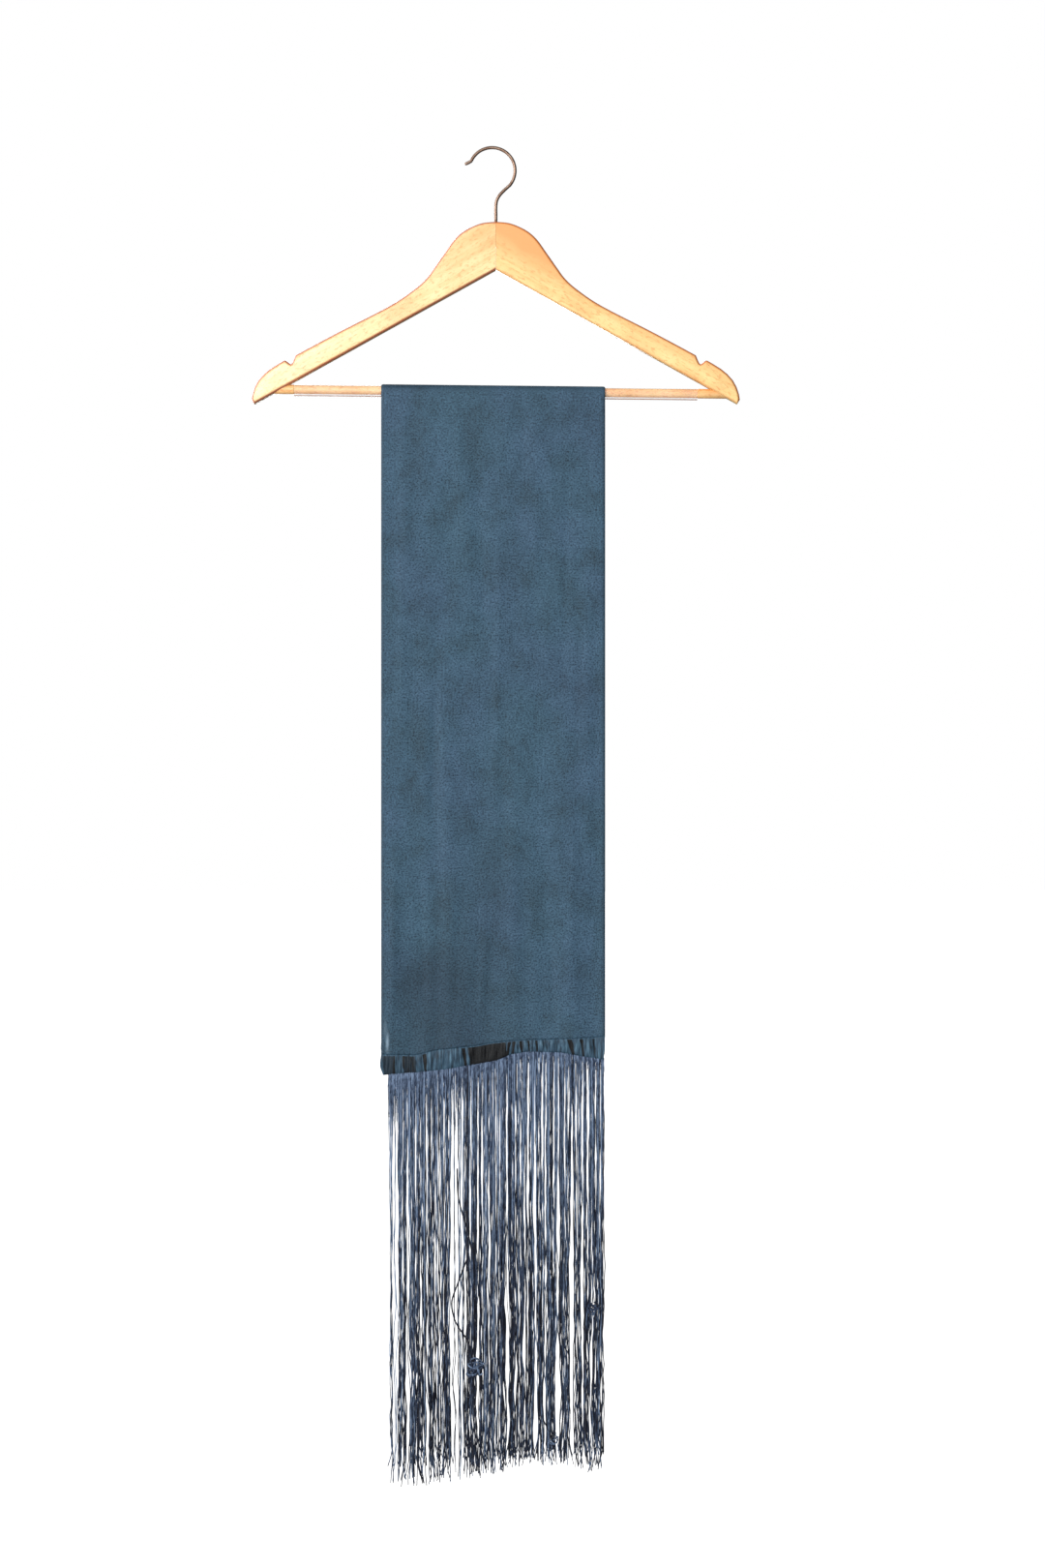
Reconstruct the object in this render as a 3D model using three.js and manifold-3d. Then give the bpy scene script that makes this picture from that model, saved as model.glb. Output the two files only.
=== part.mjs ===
// A fringed scarf hung over the trouser bar of a wooden clothes hanger.
//
// Millimetres, +Z up. The origin is the inside of the hook's crown, where a rail
// carries the hanger. +X runs along the hanger and the scarf's front faces -Y.
// "drop" is a distance below the origin, "out" one from the hanger's middle, and
// "across" one from the scarf's left edge.

import * as THREE from 'three';
import { mergeVertices } from 'three/addons/utils/BufferGeometryUtils.js';
import Module from 'manifold-3d';

const wasm = await Module();
wasm.setup();

// ---------------------------------------------------------------- dimensions

const GAP = 0.3; // clearance between neighbouring pieces

// Hanger arms
const HANGER_X = 3.4; // the hanger's middle, beside the hook's crown
const ARM_THICKNESS = 12;
const ARM_ROUNDING = 2.6;
const ARM_APEX_DROP = 110.6; // underside, at the middle seam
const ARM_TIP = [
  { out: 222.7, drop: 229.0 },
  { out: 220.4, drop: 232.9 },
];

// Upper outline of an arm, from the middle seam to the tip
const ARM_TOP = [
  { out: 0.0, drop: 66.8 },
  { out: 13.0, drop: 68.2 },
  { out: 27.0, drop: 74.2 },
  { out: 37.0, drop: 82.4 },
  { out: 46.2, drop: 95.0 },
  { out: 55.6, drop: 108.4 },
  { out: 63.4, drop: 118.9 },
  { out: 75.0, drop: 129.2 },
  { out: 97.0, drop: 143.8 },
  { out: 144.5, drop: 168.2 },
  { out: 183.0, drop: 188.8 },
  { out: 205.4, drop: 200.9 },
  { out: 216.4, drop: 211.4 },
  { out: 222.0, drop: 224.4 },
];

// Strap notch in the top of each arm
const NOTCH = [
  { out: 182.4, drop: 184.0 },
  { out: 185.8, drop: 196.0 },
  { out: 187.6, drop: 196.6 },
  { out: 194.0, drop: 192.0 },
  { out: 194.0, drop: 184.0 },
];

// Hook
const HOOK_WIRE = 3.0;
const HOOK_RADIUS = 21.0; // of the wire's middle line
const HOOK_FIRST_ANGLE = 156; // where the round part starts, at the mouth
const HOOK_LAST_ANGLE = -40; // where it turns into the neck
const HOOK_ROUND_POINTS = 15;
const HOOK_LIP = [
  { x: -24.9, drop: 13.9 },
  { x: -22.2, drop: 12.6 },
];
const HOOK_NECK = [
  { x: 11.4, drop: 37.2 },
  { x: 7.2, drop: 41.6 },
  { x: 4.4, drop: 46.4 },
  { x: HANGER_X, drop: 52.0 },
  { x: HANGER_X, drop: 60.0 },
];
const HOOK_END_DROP = 88; // in the wood
const HOOK_STEPS = 42;
const HOOK_SIDES = 10;

// Trouser bar and its clear sleeve
const BAR_RADIUS = 5.2;
const BAR_DROP = 222.1; // of its axis, at the hanger's middle
const BAR_TILT = 0.0105; // radians: its right end is the lower
const BAR_LENGTH = 424;
const BAR_CORE_RADIUS = 4.1; // where the sleeve sits
const SLEEVE_LENGTH = 368;
const SLEEVE_INNER_RADIUS = BAR_CORE_RADIUS + GAP;
const ROUND_SIDES = 20;

// Scarf cloth: one length, hung in half over the bar
const CLOTH_LEFT = -100.8;
const CLOTH_WIDTH = 203.7;
const CLOTH_WALL = 1.2;
const CLOTH_INNER_RADIUS = BAR_RADIUS + GAP;
const CLOTH_COLUMNS = 33;
const PANEL_ROWS = 9;
const TURN_ROWS = 8;
const EDGE_ROLL = 0.9; // extra wall at the rolled side edges
const EDGE_ROLL_WIDTH = 3.0;

// Lower edges of the cloth and of its hem band, left to right
const FRONT_HEM = [
  { across: 0.0, cloth: 827.5, band: 844.8 },
  { across: 30.6, cloth: 828.2, band: 842.7 },
  { across: 52.7, cloth: 823.3, band: 840.6 },
  { across: 81.9, cloth: 820.3, band: 835.9 },
  { across: 103.9, cloth: 816.7, band: 832.1 },
  { across: 119.8, cloth: 815.2, band: 825.8 },
  { across: 133.9, cloth: 814.4, band: 823.6 },
  { across: 162.2, cloth: 813.6, band: 824.4 },
  { across: 189.6, cloth: 812.3, band: 829.0 },
  { across: 203.7, cloth: 810.8, band: 831.4 },
];
const BACK_HEM = [
  { across: 0.0, cloth: 814.0, band: 829.4 },
  { across: 48.0, cloth: 815.2, band: 829.0 },
  { across: 96.0, cloth: 811.4, band: 825.8 },
  { across: 150.0, cloth: 806.6, band: 819.4 },
  { across: 203.7, cloth: 804.6, band: 818.0 },
];

// Long soft folds: where across, half width, height (minus is a trough), and the
// share of the hang where they start
const FRONT_FOLDS = [
  { across: 9, width: 9, height: 1.1, start: 0.1 },
  { across: 31, width: 10, height: -1.0, start: 0.55 },
  { across: 51, width: 6, height: -1.1, start: 0.4 },
  { across: 68, width: 11, height: 1.5, start: 0.2 },
  { across: 96, width: 12, height: -1.2, start: 0.5 },
  { across: 121, width: 13, height: 1.4, start: 0.15 },
  { across: 150, width: 9, height: -0.9, start: 0.35 },
  { across: 172, width: 12, height: 1.3, start: 0.3 },
  { across: 194, width: 7, height: -0.8, start: 0.2 },
];
const BACK_FOLDS = [
  { across: 14, width: 10, height: -0.9, start: 0.3 },
  { across: 40, width: 11, height: 1.4, start: 0.15 },
  { across: 73, width: 9, height: -1.1, start: 0.4 },
  { across: 101, width: 13, height: 1.3, start: 0.25 },
  { across: 132, width: 8, height: -1.0, start: 0.5 },
  { across: 158, width: 12, height: 1.5, start: 0.2 },
  { across: 188, width: 9, height: -0.9, start: 0.35 },
];

// Hem band: a gathered strip, each gather pressed in between two ridges
const BAND_WALL = 1.2;
const BAND_COLUMNS = 2 * CLOTH_COLUMNS;
const BAND_ROWS = 3;
const BAND_SWELL = 1.6; // how far the band stands out at half its height
const FRONT_GATHERS = [
  { across: 6.8, width: 4.0, depth: 0.9 },
  { across: 16.5, width: 4.6, depth: 1.0 },
  { across: 27.0, width: 4.0, depth: 0.8 },
  { across: 39.5, width: 2.6, depth: 1.6 },
  { across: 48.6, width: 2.8, depth: 0.7 },
  { across: 58.9, width: 4.2, depth: 1.2 },
  { across: 76.1, width: 2.6, depth: 1.6 },
  { across: 86.3, width: 4.0, depth: 2.0 },
  { across: 96.4, width: 4.4, depth: 2.2 },
  { across: 106.6, width: 4.0, depth: 2.0 },
  { across: 118.9, width: 3.0, depth: 1.6 },
  { across: 126.9, width: 2.5, depth: 1.5 },
  { across: 134.2, width: 2.5, depth: 1.3 },
  { across: 141.5, width: 2.5, depth: 1.3 },
  { across: 150.9, width: 2.8, depth: 0.9 },
  { across: 161.3, width: 2.8, depth: 0.9 },
  { across: 172.8, width: 3.6, depth: 1.6 },
  { across: 183.4, width: 3.0, depth: 1.5 },
  { across: 194.4, width: 2.8, depth: 1.0 },
];
const BACK_GATHERS = 19; // spaced by rule

// Fringe: a header strip, and strands that gather into locks
const HEADER_HEIGHT = 7.0;
const HEADER_WALL = 2.2;
const STRAND_RADIUS = 0.55;
const STRAND_TIP_RADIUS = 0.34;
const STRAND_SIDES = 3;
const STRAND_LENGTH = 374; // below the hem band
const STRAND_ROOT = 3; // buried in the header
const STRAND_STAGGER = 0.55; // neighbours stand before and behind the middle
const STRAND_STATIONS = [0, 0.06, 0.16, 0.42, 0.72, 1];
const LOCK_GATHERED = 0.14; // share of the length where the locks have formed

const FRONT_LOCKS = [
  { across: 11.2, width: 1.2, strands: 1, sway: 0.5 },
  { across: 18.9, width: 5.2, strands: 4, sway: -0.9 },
  { across: 29.3, width: 9.4, strands: 7, sway: 0.8 },
  { across: 38.5, width: 4.0, strands: 3, sway: -0.3 },
  { across: 44.9, width: 5.2, strands: 4, sway: 0.2 },
  { across: 51.3, width: 2.6, strands: 2, sway: -0.4 },
  { across: 58.2, width: 6.9, strands: 5, sway: 0.7 },
  { across: 68.2, width: 2.6, strands: 2, sway: -1.0 },
  { across: 74.2, width: 2.6, strands: 2, sway: -0.9 },
  { across: 82.7, width: 9.2, strands: 7, sway: 0.8 },
  { across: 93.4, width: 7.0, strands: 5, sway: -0.5 },
  { across: 102.6, width: 7.0, strands: 5, sway: 0.4 },
  { across: 110.6, width: 5.4, strands: 4, sway: 0.2 },
  { across: 118.2, width: 6.8, strands: 5, sway: -0.5 },
  { across: 126.2, width: 5.4, strands: 4, sway: 0.1 },
  { across: 135.5, width: 6.6, strands: 5, sway: 0.7 },
  { across: 144.9, width: 6.8, strands: 5, sway: -0.4 },
  { across: 154.6, width: 8.8, strands: 7, sway: 0.5 },
  { across: 167.1, width: 7.8, strands: 6, sway: -0.8 },
  { across: 179.2, width: 6.8, strands: 5, sway: 0.9 },
  { across: 187.9, width: 5.2, strands: 4, sway: -0.2 },
  { across: 197.2, width: 9.2, strands: 7, sway: 0.3 },
];
const BACK_LOCKS = 17; // spaced by rule
const BACK_LOCK_STRANDS = 5;

// ---------------------------------------------------------------- materials

function finish(color, roughness, metalness = 0) {
  return new THREE.MeshStandardMaterial({ color, roughness, metalness });
}

const LACQUERED_BEECH = finish('#f3c98a', 0.35);
const NICKEL_WIRE = finish('#b9a48c', 0.25, 1);
const CLEAR_VINYL = finish('#eef0ee', 0.15);
const BLUE_CREPE = finish('#466478', 0.55);
const BLUE_SATIN = finish('#3f5a70', 0.35);
const BLUE_THREAD = finish('#40485c', 0.7);

// ---------------------------------------------------------------- mesh helpers

function closedGeometry(positions, indices) {
  const geometry = new THREE.BufferGeometry();
  geometry.setAttribute('position', new THREE.Float32BufferAttribute(positions, 3));
  geometry.setIndex(indices);
  return geometry;
}

// Skin over a row of closed rings with equal point counts, capped at both ends.
// A ring runs anticlockwise as seen from the far end of the row.
function loft(rings, cap) {
  const size = rings[0].length;
  const positions = rings.flat().flatMap((point) => [point.x, point.y, point.z]);
  const indices = [];
  for (let row = 0; row + 1 < rings.length; row += 1) {
    for (let at = 0; at < size; at += 1) {
      const next = (at + 1) % size;
      const low = row * size;
      const high = low + size;
      indices.push(low + at, low + next, high + next);
      indices.push(low + at, high + next, high + at);
    }
  }
  const lastRing = (rings.length - 1) * size;
  for (const [a, b, c] of cap) {
    indices.push(a, c, b);
    indices.push(lastRing + a, lastRing + b, lastRing + c);
  }
  return closedGeometry(positions, indices);
}

// Cap of a small round ring: a fan
function fanCap(size) {
  const cap = [];
  for (let at = 1; at + 1 < size; at += 1) {
    cap.push([0, at, at + 1]);
  }
  return cap;
}

// Cap of a wall's ring, whose second half comes back along its first: a ladder
function ladderCap(size) {
  const cap = [];
  for (let at = 0; at + 1 < size / 2; at += 1) {
    const back = size - 1 - at;
    cap.push([at, at + 1, back - 1]);
    cap.push([at, back - 1, back]);
  }
  return cap;
}

function toSolid(geometry) {
  const bare = geometry.clone();
  bare.deleteAttribute('normal');
  bare.deleteAttribute('uv');
  const merged = mergeVertices(bare, 1e-4);
  const vertProperties = new Float32Array(merged.attributes.position.array);
  const triVerts = new Uint32Array(merged.index.array);
  return new wasm.Manifold(new wasm.Mesh({ numProp: 3, vertProperties, triVerts }));
}

function fromSolid(solid) {
  const mesh = solid.getMesh();
  return closedGeometry(Array.from(mesh.vertProperties), Array.from(mesh.triVerts));
}

function namedMesh(name, geometry, material) {
  const mesh = new THREE.Mesh(geometry, material);
  mesh.name = name;
  return mesh;
}

// Value of a table's column at a place, straight between its rows
function tableValue(table, across, column) {
  const last = table.length - 1;
  const next = Math.min(Math.max(table.findIndex((row) => row.across >= across), 1), last);
  const low = table[next - 1];
  const high = table[next];
  const share = (across - low.across) / (high.across - low.across);
  return THREE.MathUtils.lerp(low[column], high[column], share);
}

function bump(distance, width) {
  return Math.exp(-((distance / width) ** 2));
}

// ---------------------------------------------------------------- hanger

// Outline with out to the right and drop downwards, for side 1 or -1
function outlinePoint(row, side) {
  return new THREE.Vector2(side * row.out, -row.drop);
}

// An outline in X and Z made a board, centred on Y = 0
function board(shape, thickness, rounding, curveSegments) {
  const geometry = new THREE.ExtrudeGeometry(shape, {
    depth: thickness - 2 * rounding,
    bevelEnabled: rounding > 0,
    bevelThickness: rounding,
    bevelSize: rounding,
    bevelOffset: -rounding,
    bevelSegments: 2,
    curveSegments,
  });
  geometry.translate(0, 0, rounding - thickness / 2);
  geometry.rotateX(Math.PI / 2);
  return geometry;
}

function armShape(side) {
  const pastSeam = ARM_ROUNDING + 2;
  const shape = new THREE.Shape();
  shape.moveTo(-side * pastSeam, -ARM_APEX_DROP);
  shape.lineTo(-side * pastSeam, -ARM_TOP[0].drop);
  const top = ARM_TOP.map((row) => outlinePoint(row, side));
  shape.lineTo(top[0].x, top[0].y);
  shape.splineThru(top.slice(1));
  for (const row of ARM_TIP) {
    shape.lineTo(side * row.out, -row.drop);
  }
  shape.lineTo(0, -ARM_APEX_DROP);
  shape.closePath();
  return shape;
}

function barRod(radius, length) {
  const geometry = new THREE.CylinderGeometry(radius, radius, length, ROUND_SIDES);
  geometry.rotateZ(Math.PI / 2);
  geometry.rotateY(BAR_TILT);
  geometry.translate(0, 0, -BAR_DROP);
  return geometry;
}

function armGeometry(side) {
  const arm = toSolid(board(armShape(side), ARM_THICKNESS, ARM_ROUNDING, 2));

  const seamBlock = new THREE.BoxGeometry(60, 60, 120);
  seamBlock.translate(side * (GAP / 2 - 30), 0, -ARM_APEX_DROP);

  const notchShape = new THREE.Shape(NOTCH.map((row) => outlinePoint(row, side)));
  const notch = board(notchShape, ARM_THICKNESS + 8, 0, 1);

  const shankBore = new THREE.CylinderGeometry(HOOK_WIRE / 2 + GAP, HOOK_WIRE / 2 + GAP, 60, 16);
  shankBore.rotateX(Math.PI / 2);
  shankBore.translate(0, 0, -HOOK_END_DROP - GAP + 30);

  const cut = toSolid(seamBlock)
    .add(toSolid(notch))
    .add(toSolid(shankBore))
    .add(toSolid(barRod(BAR_RADIUS + GAP, BAR_LENGTH + 2 * GAP)));
  return fromSolid(arm.subtract(cut));
}

function hookPath() {
  const centreZ = HOOK_WIRE / 2 - HOOK_RADIUS;
  const points = HOOK_LIP.map((row) => new THREE.Vector3(row.x, 0, -row.drop));
  for (let step = 0; step < HOOK_ROUND_POINTS; step += 1) {
    const share = step / (HOOK_ROUND_POINTS - 1);
    const degrees = THREE.MathUtils.lerp(HOOK_FIRST_ANGLE, HOOK_LAST_ANGLE, share);
    const angle = THREE.MathUtils.degToRad(degrees);
    const x = HOOK_RADIUS * Math.cos(angle);
    points.push(new THREE.Vector3(x, 0, centreZ + HOOK_RADIUS * Math.sin(angle)));
  }
  for (const row of HOOK_NECK) {
    points.push(new THREE.Vector3(row.x, 0, -row.drop));
  }
  points.push(new THREE.Vector3(HANGER_X, 0, -HOOK_END_DROP));
  return new THREE.CatmullRomCurve3(points);
}

function hookGeometry() {
  const wire = new THREE.Shape();
  wire.absarc(0, 0, HOOK_WIRE / 2, 0, 2 * Math.PI);
  return new THREE.ExtrudeGeometry(wire, {
    steps: HOOK_STEPS,
    curveSegments: HOOK_SIDES / 2,
    extrudePath: hookPath(),
  });
}

function turned(profile) {
  const points = profile.map(([radius, along]) => new THREE.Vector2(radius, along));
  return new THREE.LatheGeometry(points, ROUND_SIDES);
}

function barGeometry() {
  const end = BAR_LENGTH / 2;
  const shoulder = SLEEVE_LENGTH / 2 + GAP;
  return turned([
    [0, -end],
    [BAR_RADIUS, -end],
    [BAR_RADIUS, -shoulder],
    [BAR_CORE_RADIUS, -shoulder],
    [BAR_CORE_RADIUS, shoulder],
    [BAR_RADIUS, shoulder],
    [BAR_RADIUS, end],
    [0, end],
  ]);
}

function sleeveGeometry() {
  const end = SLEEVE_LENGTH / 2;
  return turned([
    [SLEEVE_INNER_RADIUS, -end],
    [BAR_RADIUS, -end],
    [BAR_RADIUS, end],
    [SLEEVE_INNER_RADIUS, end],
    [SLEEVE_INNER_RADIUS, -end],
  ]);
}

function buildHanger() {
  const hanger = new THREE.Group();
  hanger.add(namedMesh('hanger_hook', hookGeometry(), NICKEL_WIRE));

  const woodwork = new THREE.Group();
  woodwork.position.x = HANGER_X;
  woodwork.add(namedMesh('hanger_arm_left', armGeometry(-1), LACQUERED_BEECH));
  woodwork.add(namedMesh('hanger_arm_right', armGeometry(1), LACQUERED_BEECH));

  const rail = new THREE.Group();
  rail.position.z = -BAR_DROP;
  rail.rotation.y = BAR_TILT;
  const bar = namedMesh('trouser_bar', barGeometry(), LACQUERED_BEECH);
  const sleeve = namedMesh('bar_sleeve', sleeveGeometry(), CLEAR_VINYL);
  for (const piece of [bar, sleeve]) {
    piece.rotation.z = Math.PI / 2;
    rail.add(piece);
  }
  woodwork.add(rail);
  hanger.add(woodwork);
  return hanger;
}

// ---------------------------------------------------------------- scarf cloth

// Gathers and locks of the plain back, uneven by rule
function evenGathers(count) {
  const pitch = CLOTH_WIDTH / count;
  const gathers = [];
  for (let at = 0; at < count; at += 1) {
    gathers.push({
      across: pitch * (at + 0.5 + 0.2 * Math.sin(2.3 * at)),
      width: 3.1 + 0.6 * Math.sin(1.7 * at + 1),
      depth: 1.3 + 0.5 * Math.sin(2.9 * at),
    });
  }
  return gathers;
}

function evenLocks(count, strands) {
  const pitch = CLOTH_WIDTH / count;
  const locks = [];
  for (let at = 0; at < count; at += 1) {
    locks.push({
      across: pitch * (at + 0.5) + 1.1 * Math.sin(2.4 * at),
      width: 7.2 + 0.7 * Math.sin(1.9 * at),
      strands,
      sway: 0.6 * Math.sin(3.1 * at + 0.7),
    });
  }
  return locks;
}

// The two hanging sides: which way is outwards in Y, and their own tables
const FRONT = {
  outwards: -1,
  hem: FRONT_HEM,
  folds: FRONT_FOLDS,
  gathers: FRONT_GATHERS,
  locks: FRONT_LOCKS,
};
const BACK = {
  outwards: 1,
  hem: BACK_HEM,
  folds: BACK_FOLDS,
  gathers: evenGathers(BACK_GATHERS),
  locks: evenLocks(BACK_LOCKS, BACK_LOCK_STRANDS),
};

function barDrop(across) {
  return BAR_DROP + BAR_TILT * (CLOTH_LEFT + across - HANGER_X);
}

// How far the folds push the cloth outwards, at a share of the hang
function foldOffset(side, across, share) {
  let offset = 0;
  for (const fold of side.folds) {
    const grown = THREE.MathUtils.smoothstep(share, fold.start, 1);
    offset += fold.height * grown * bump(across - fold.across, fold.width);
  }
  return offset;
}

// Wall at a place across: thicker where the side edges roll
function clothWall(across) {
  const fromEdge = Math.min(across, CLOTH_WIDTH - across);
  return CLOTH_WALL + EDGE_ROLL * bump(fromEdge, EDGE_ROLL_WIDTH);
}

// A point of a hanging side: how far out of the bar's plane, and how far down
function hangingPoint(side, across, drop, outFromBar) {
  return new THREE.Vector3(CLOTH_LEFT + across, side.outwards * outFromBar, -drop);
}

function columnPlaces(columns) {
  const places = [];
  for (let at = 0; at <= columns; at += 1) {
    places.push((CLOTH_WIDTH * at) / columns);
  }
  return places;
}

// Ring of a wall's section: along its outer face, and back along its inner one
function wallRing(places, inner, outer) {
  const there = places.map(outer);
  const back = places.map(inner).reverse();
  return [...there, ...back];
}

function panelRing(side, share) {
  const point = (across, wall) => {
    const top = barDrop(across);
    const drop = THREE.MathUtils.lerp(top, tableValue(side.hem, across, 'cloth'), share);
    const out = CLOTH_INNER_RADIUS + foldOffset(side, across, share) + wall;
    return hangingPoint(side, across, drop, out);
  };
  return wallRing(
    columnPlaces(CLOTH_COLUMNS),
    (across) => point(across, 0),
    (across) => point(across, clothWall(across)),
  );
}

// Ring of the turn over the bar, at an angle from the front, 0, to the back, pi
function turnRing(angle) {
  const point = (across, radius) => {
    const y = -radius * Math.cos(angle);
    return new THREE.Vector3(CLOTH_LEFT + across, y, radius * Math.sin(angle) - barDrop(across));
  };
  return wallRing(
    columnPlaces(CLOTH_COLUMNS),
    (across) => point(across, CLOTH_INNER_RADIUS),
    (across) => point(across, CLOTH_INNER_RADIUS + clothWall(across)),
  );
}

function clothGeometry() {
  const rings = [];
  for (let row = PANEL_ROWS; row >= 1; row -= 1) {
    rings.push(panelRing(FRONT, row / PANEL_ROWS));
  }
  for (let row = 0; row <= TURN_ROWS; row += 1) {
    rings.push(turnRing((Math.PI * row) / TURN_ROWS));
  }
  for (let row = 1; row <= PANEL_ROWS; row += 1) {
    rings.push(panelRing(BACK, row / PANEL_ROWS));
  }
  return loft(rings, ladderCap(rings[0].length));
}

// ---------------------------------------------------------------- hem bands

function gatherDepth(side, across) {
  let depth = 0;
  for (const gather of side.gathers) {
    depth += gather.depth * bump(across - gather.across, gather.width);
  }
  return depth;
}

function bandRing(side, share) {
  const swell = Math.sin(Math.PI * share);
  const point = (across, wall) => {
    const top = tableValue(side.hem, across, 'cloth') + GAP;
    const drop = THREE.MathUtils.lerp(top, tableValue(side.hem, across, 'band'), share);
    const pressed = gatherDepth(side, across) * swell;
    const fold = foldOffset(side, across, 1) * (1 - share);
    const out = CLOTH_INNER_RADIUS + fold + BAND_SWELL * swell - pressed + wall;
    return hangingPoint(side, across, drop, out);
  };
  return wallRing(
    columnPlaces(BAND_COLUMNS),
    (across) => point(across, 0),
    (across) => point(across, BAND_WALL),
  );
}

function bandGeometry(side) {
  const rings = [];
  for (let row = 0; row <= BAND_ROWS; row += 1) {
    rings.push(bandRing(side, row / BAND_ROWS));
  }
  return orientedLoft(rings, side);
}

// A wall lofted downwards: its rings are turned round on the front, so that the
// faces of both sides point outwards
function orientedLoft(rings, side) {
  const ordered = side.outwards < 0 ? rings.slice().reverse() : rings;
  return loft(ordered, ladderCap(rings[0].length));
}

// ---------------------------------------------------------------- fringes

const FRINGE_OUT = CLOTH_INNER_RADIUS + BAND_WALL / 2; // middle plane of a fringe

function headerGeometry(side) {
  const ring = (down) => {
    const point = (across, out) => {
      const drop = tableValue(side.hem, across, 'band') + GAP + down;
      return hangingPoint(side, across, drop, out);
    };
    return wallRing(
      columnPlaces(BAND_COLUMNS),
      (across) => point(across, FRINGE_OUT - HEADER_WALL / 2),
      (across) => point(across, FRINGE_OUT + HEADER_WALL / 2),
    );
  };
  return orientedLoft([ring(0), ring(HEADER_HEIGHT)], side);
}

// Where every strand of a side starts and hangs, from the locks' table
function strandPlaces(side) {
  const total = side.locks.reduce((sum, lock) => sum + lock.strands, 0);
  const places = [];
  for (const lock of side.locks) {
    for (let at = 0; at < lock.strands; at += 1) {
      const number = places.length;
      places.push({
        root: (CLOTH_WIDTH * (number + 0.5)) / total,
        hang: lock.across + lock.width * ((at + 0.5) / lock.strands - 0.5),
        sway: lock.sway,
        out: FRINGE_OUT + STRAND_STAGGER * (number % 2 === 0 ? 1 : -1),
        length: STRAND_LENGTH + 2 * Math.sin(2.7 * number),
      });
    }
  }
  return places;
}

function strandGeometry(side, place) {
  const top = tableValue(side.hem, place.root, 'band') + GAP + HEADER_HEIGHT - STRAND_ROOT;
  const tip = tableValue(side.hem, place.hang, 'band') + place.length;
  const rings = STRAND_STATIONS.map((share) => {
    const gathered = THREE.MathUtils.smoothstep(share, 0, LOCK_GATHERED);
    const sway = place.sway * Math.sin(1.5 * Math.PI * share);
    const across = THREE.MathUtils.lerp(place.root, place.hang, gathered) + sway * gathered;
    const centre = hangingPoint(side, across, THREE.MathUtils.lerp(top, tip, share), place.out);
    const radius = THREE.MathUtils.lerp(STRAND_RADIUS, STRAND_TIP_RADIUS, share ** 3);
    return roundRing(centre, radius, STRAND_SIDES);
  });
  return loft(rings, fanCap(STRAND_SIDES));
}

// A level ring whose points run so that a loft downwards has its faces outwards
function roundRing(centre, radius, sides) {
  const ring = [];
  for (let at = 0; at < sides; at += 1) {
    const angle = (-2 * Math.PI * at) / sides;
    const x = centre.x + radius * Math.cos(angle);
    ring.push(new THREE.Vector3(x, centre.y + radius * Math.sin(angle), centre.z));
  }
  return ring;
}

function fringeGeometry(side) {
  const strands = strandPlaces(side).map((place) => toSolid(strandGeometry(side, place)));
  return fromSolid(wasm.Manifold.union([toSolid(headerGeometry(side)), ...strands]));
}

function buildScarf() {
  const scarf = new THREE.Group();
  scarf.add(namedMesh('scarf_cloth', clothGeometry(), BLUE_CREPE));
  scarf.add(namedMesh('hem_band_front', bandGeometry(FRONT), BLUE_SATIN));
  scarf.add(namedMesh('hem_band_back', bandGeometry(BACK), BLUE_SATIN));
  scarf.add(namedMesh('fringe_front', fringeGeometry(FRONT), BLUE_THREAD));
  scarf.add(namedMesh('fringe_back', fringeGeometry(BACK), BLUE_THREAD));
  return scarf;
}

// ---------------------------------------------------------------- assembly

const scarfOnHanger = new THREE.Group();
scarfOnHanger.add(buildHanger());
scarfOnHanger.add(buildScarf());

export default scarfOnHanger;
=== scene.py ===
import logging
import math
import random
from dataclasses import dataclass
from enum import Enum
from functools import partial
from typing import Callable, Sequence

import bmesh
import bpy
from bmesh.types import BMEdge, BMesh, BMVert
from bpy.types import NodeSocket, NodeTree, Object
from mathutils import Matrix, Vector, noise


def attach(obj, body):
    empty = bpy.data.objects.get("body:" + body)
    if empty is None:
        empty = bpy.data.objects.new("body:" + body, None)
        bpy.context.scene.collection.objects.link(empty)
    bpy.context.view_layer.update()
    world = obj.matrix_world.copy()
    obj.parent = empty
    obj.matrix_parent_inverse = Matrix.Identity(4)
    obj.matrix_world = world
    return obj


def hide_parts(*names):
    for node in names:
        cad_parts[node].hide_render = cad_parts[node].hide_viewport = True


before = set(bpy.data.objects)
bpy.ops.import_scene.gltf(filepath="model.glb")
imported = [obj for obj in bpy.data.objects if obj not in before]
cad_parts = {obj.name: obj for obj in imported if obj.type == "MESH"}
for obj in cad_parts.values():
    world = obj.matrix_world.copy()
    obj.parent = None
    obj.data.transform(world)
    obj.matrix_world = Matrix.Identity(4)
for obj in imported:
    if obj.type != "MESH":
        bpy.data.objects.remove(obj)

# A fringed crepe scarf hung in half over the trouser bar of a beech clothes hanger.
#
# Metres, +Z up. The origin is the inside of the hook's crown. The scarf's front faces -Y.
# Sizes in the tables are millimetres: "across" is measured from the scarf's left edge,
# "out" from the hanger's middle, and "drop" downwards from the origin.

WHITE = "#FFFFFF"
LOG = logging.getLogger("scarf")
MM = 0.001
FULL_TURN = 2 * math.pi
SEED = 20
TINY = 1e-6  # metres; places that are closer are one


class Slot(Enum):
    """Material slots of the record."""

    BEECH = "lacquered_beech"
    NICKEL = "nickel_wire"
    VINYL = "clear_vinyl"
    CREPE = "blue_crepe"
    SATIN = "blue_satin"
    THREAD = "blue_thread"


class Side(Enum):
    """Which half of the scarf, by the way its outer face looks along Y."""

    FRONT = -1
    BACK = 1


# ---------- shared sizes, mm

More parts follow.
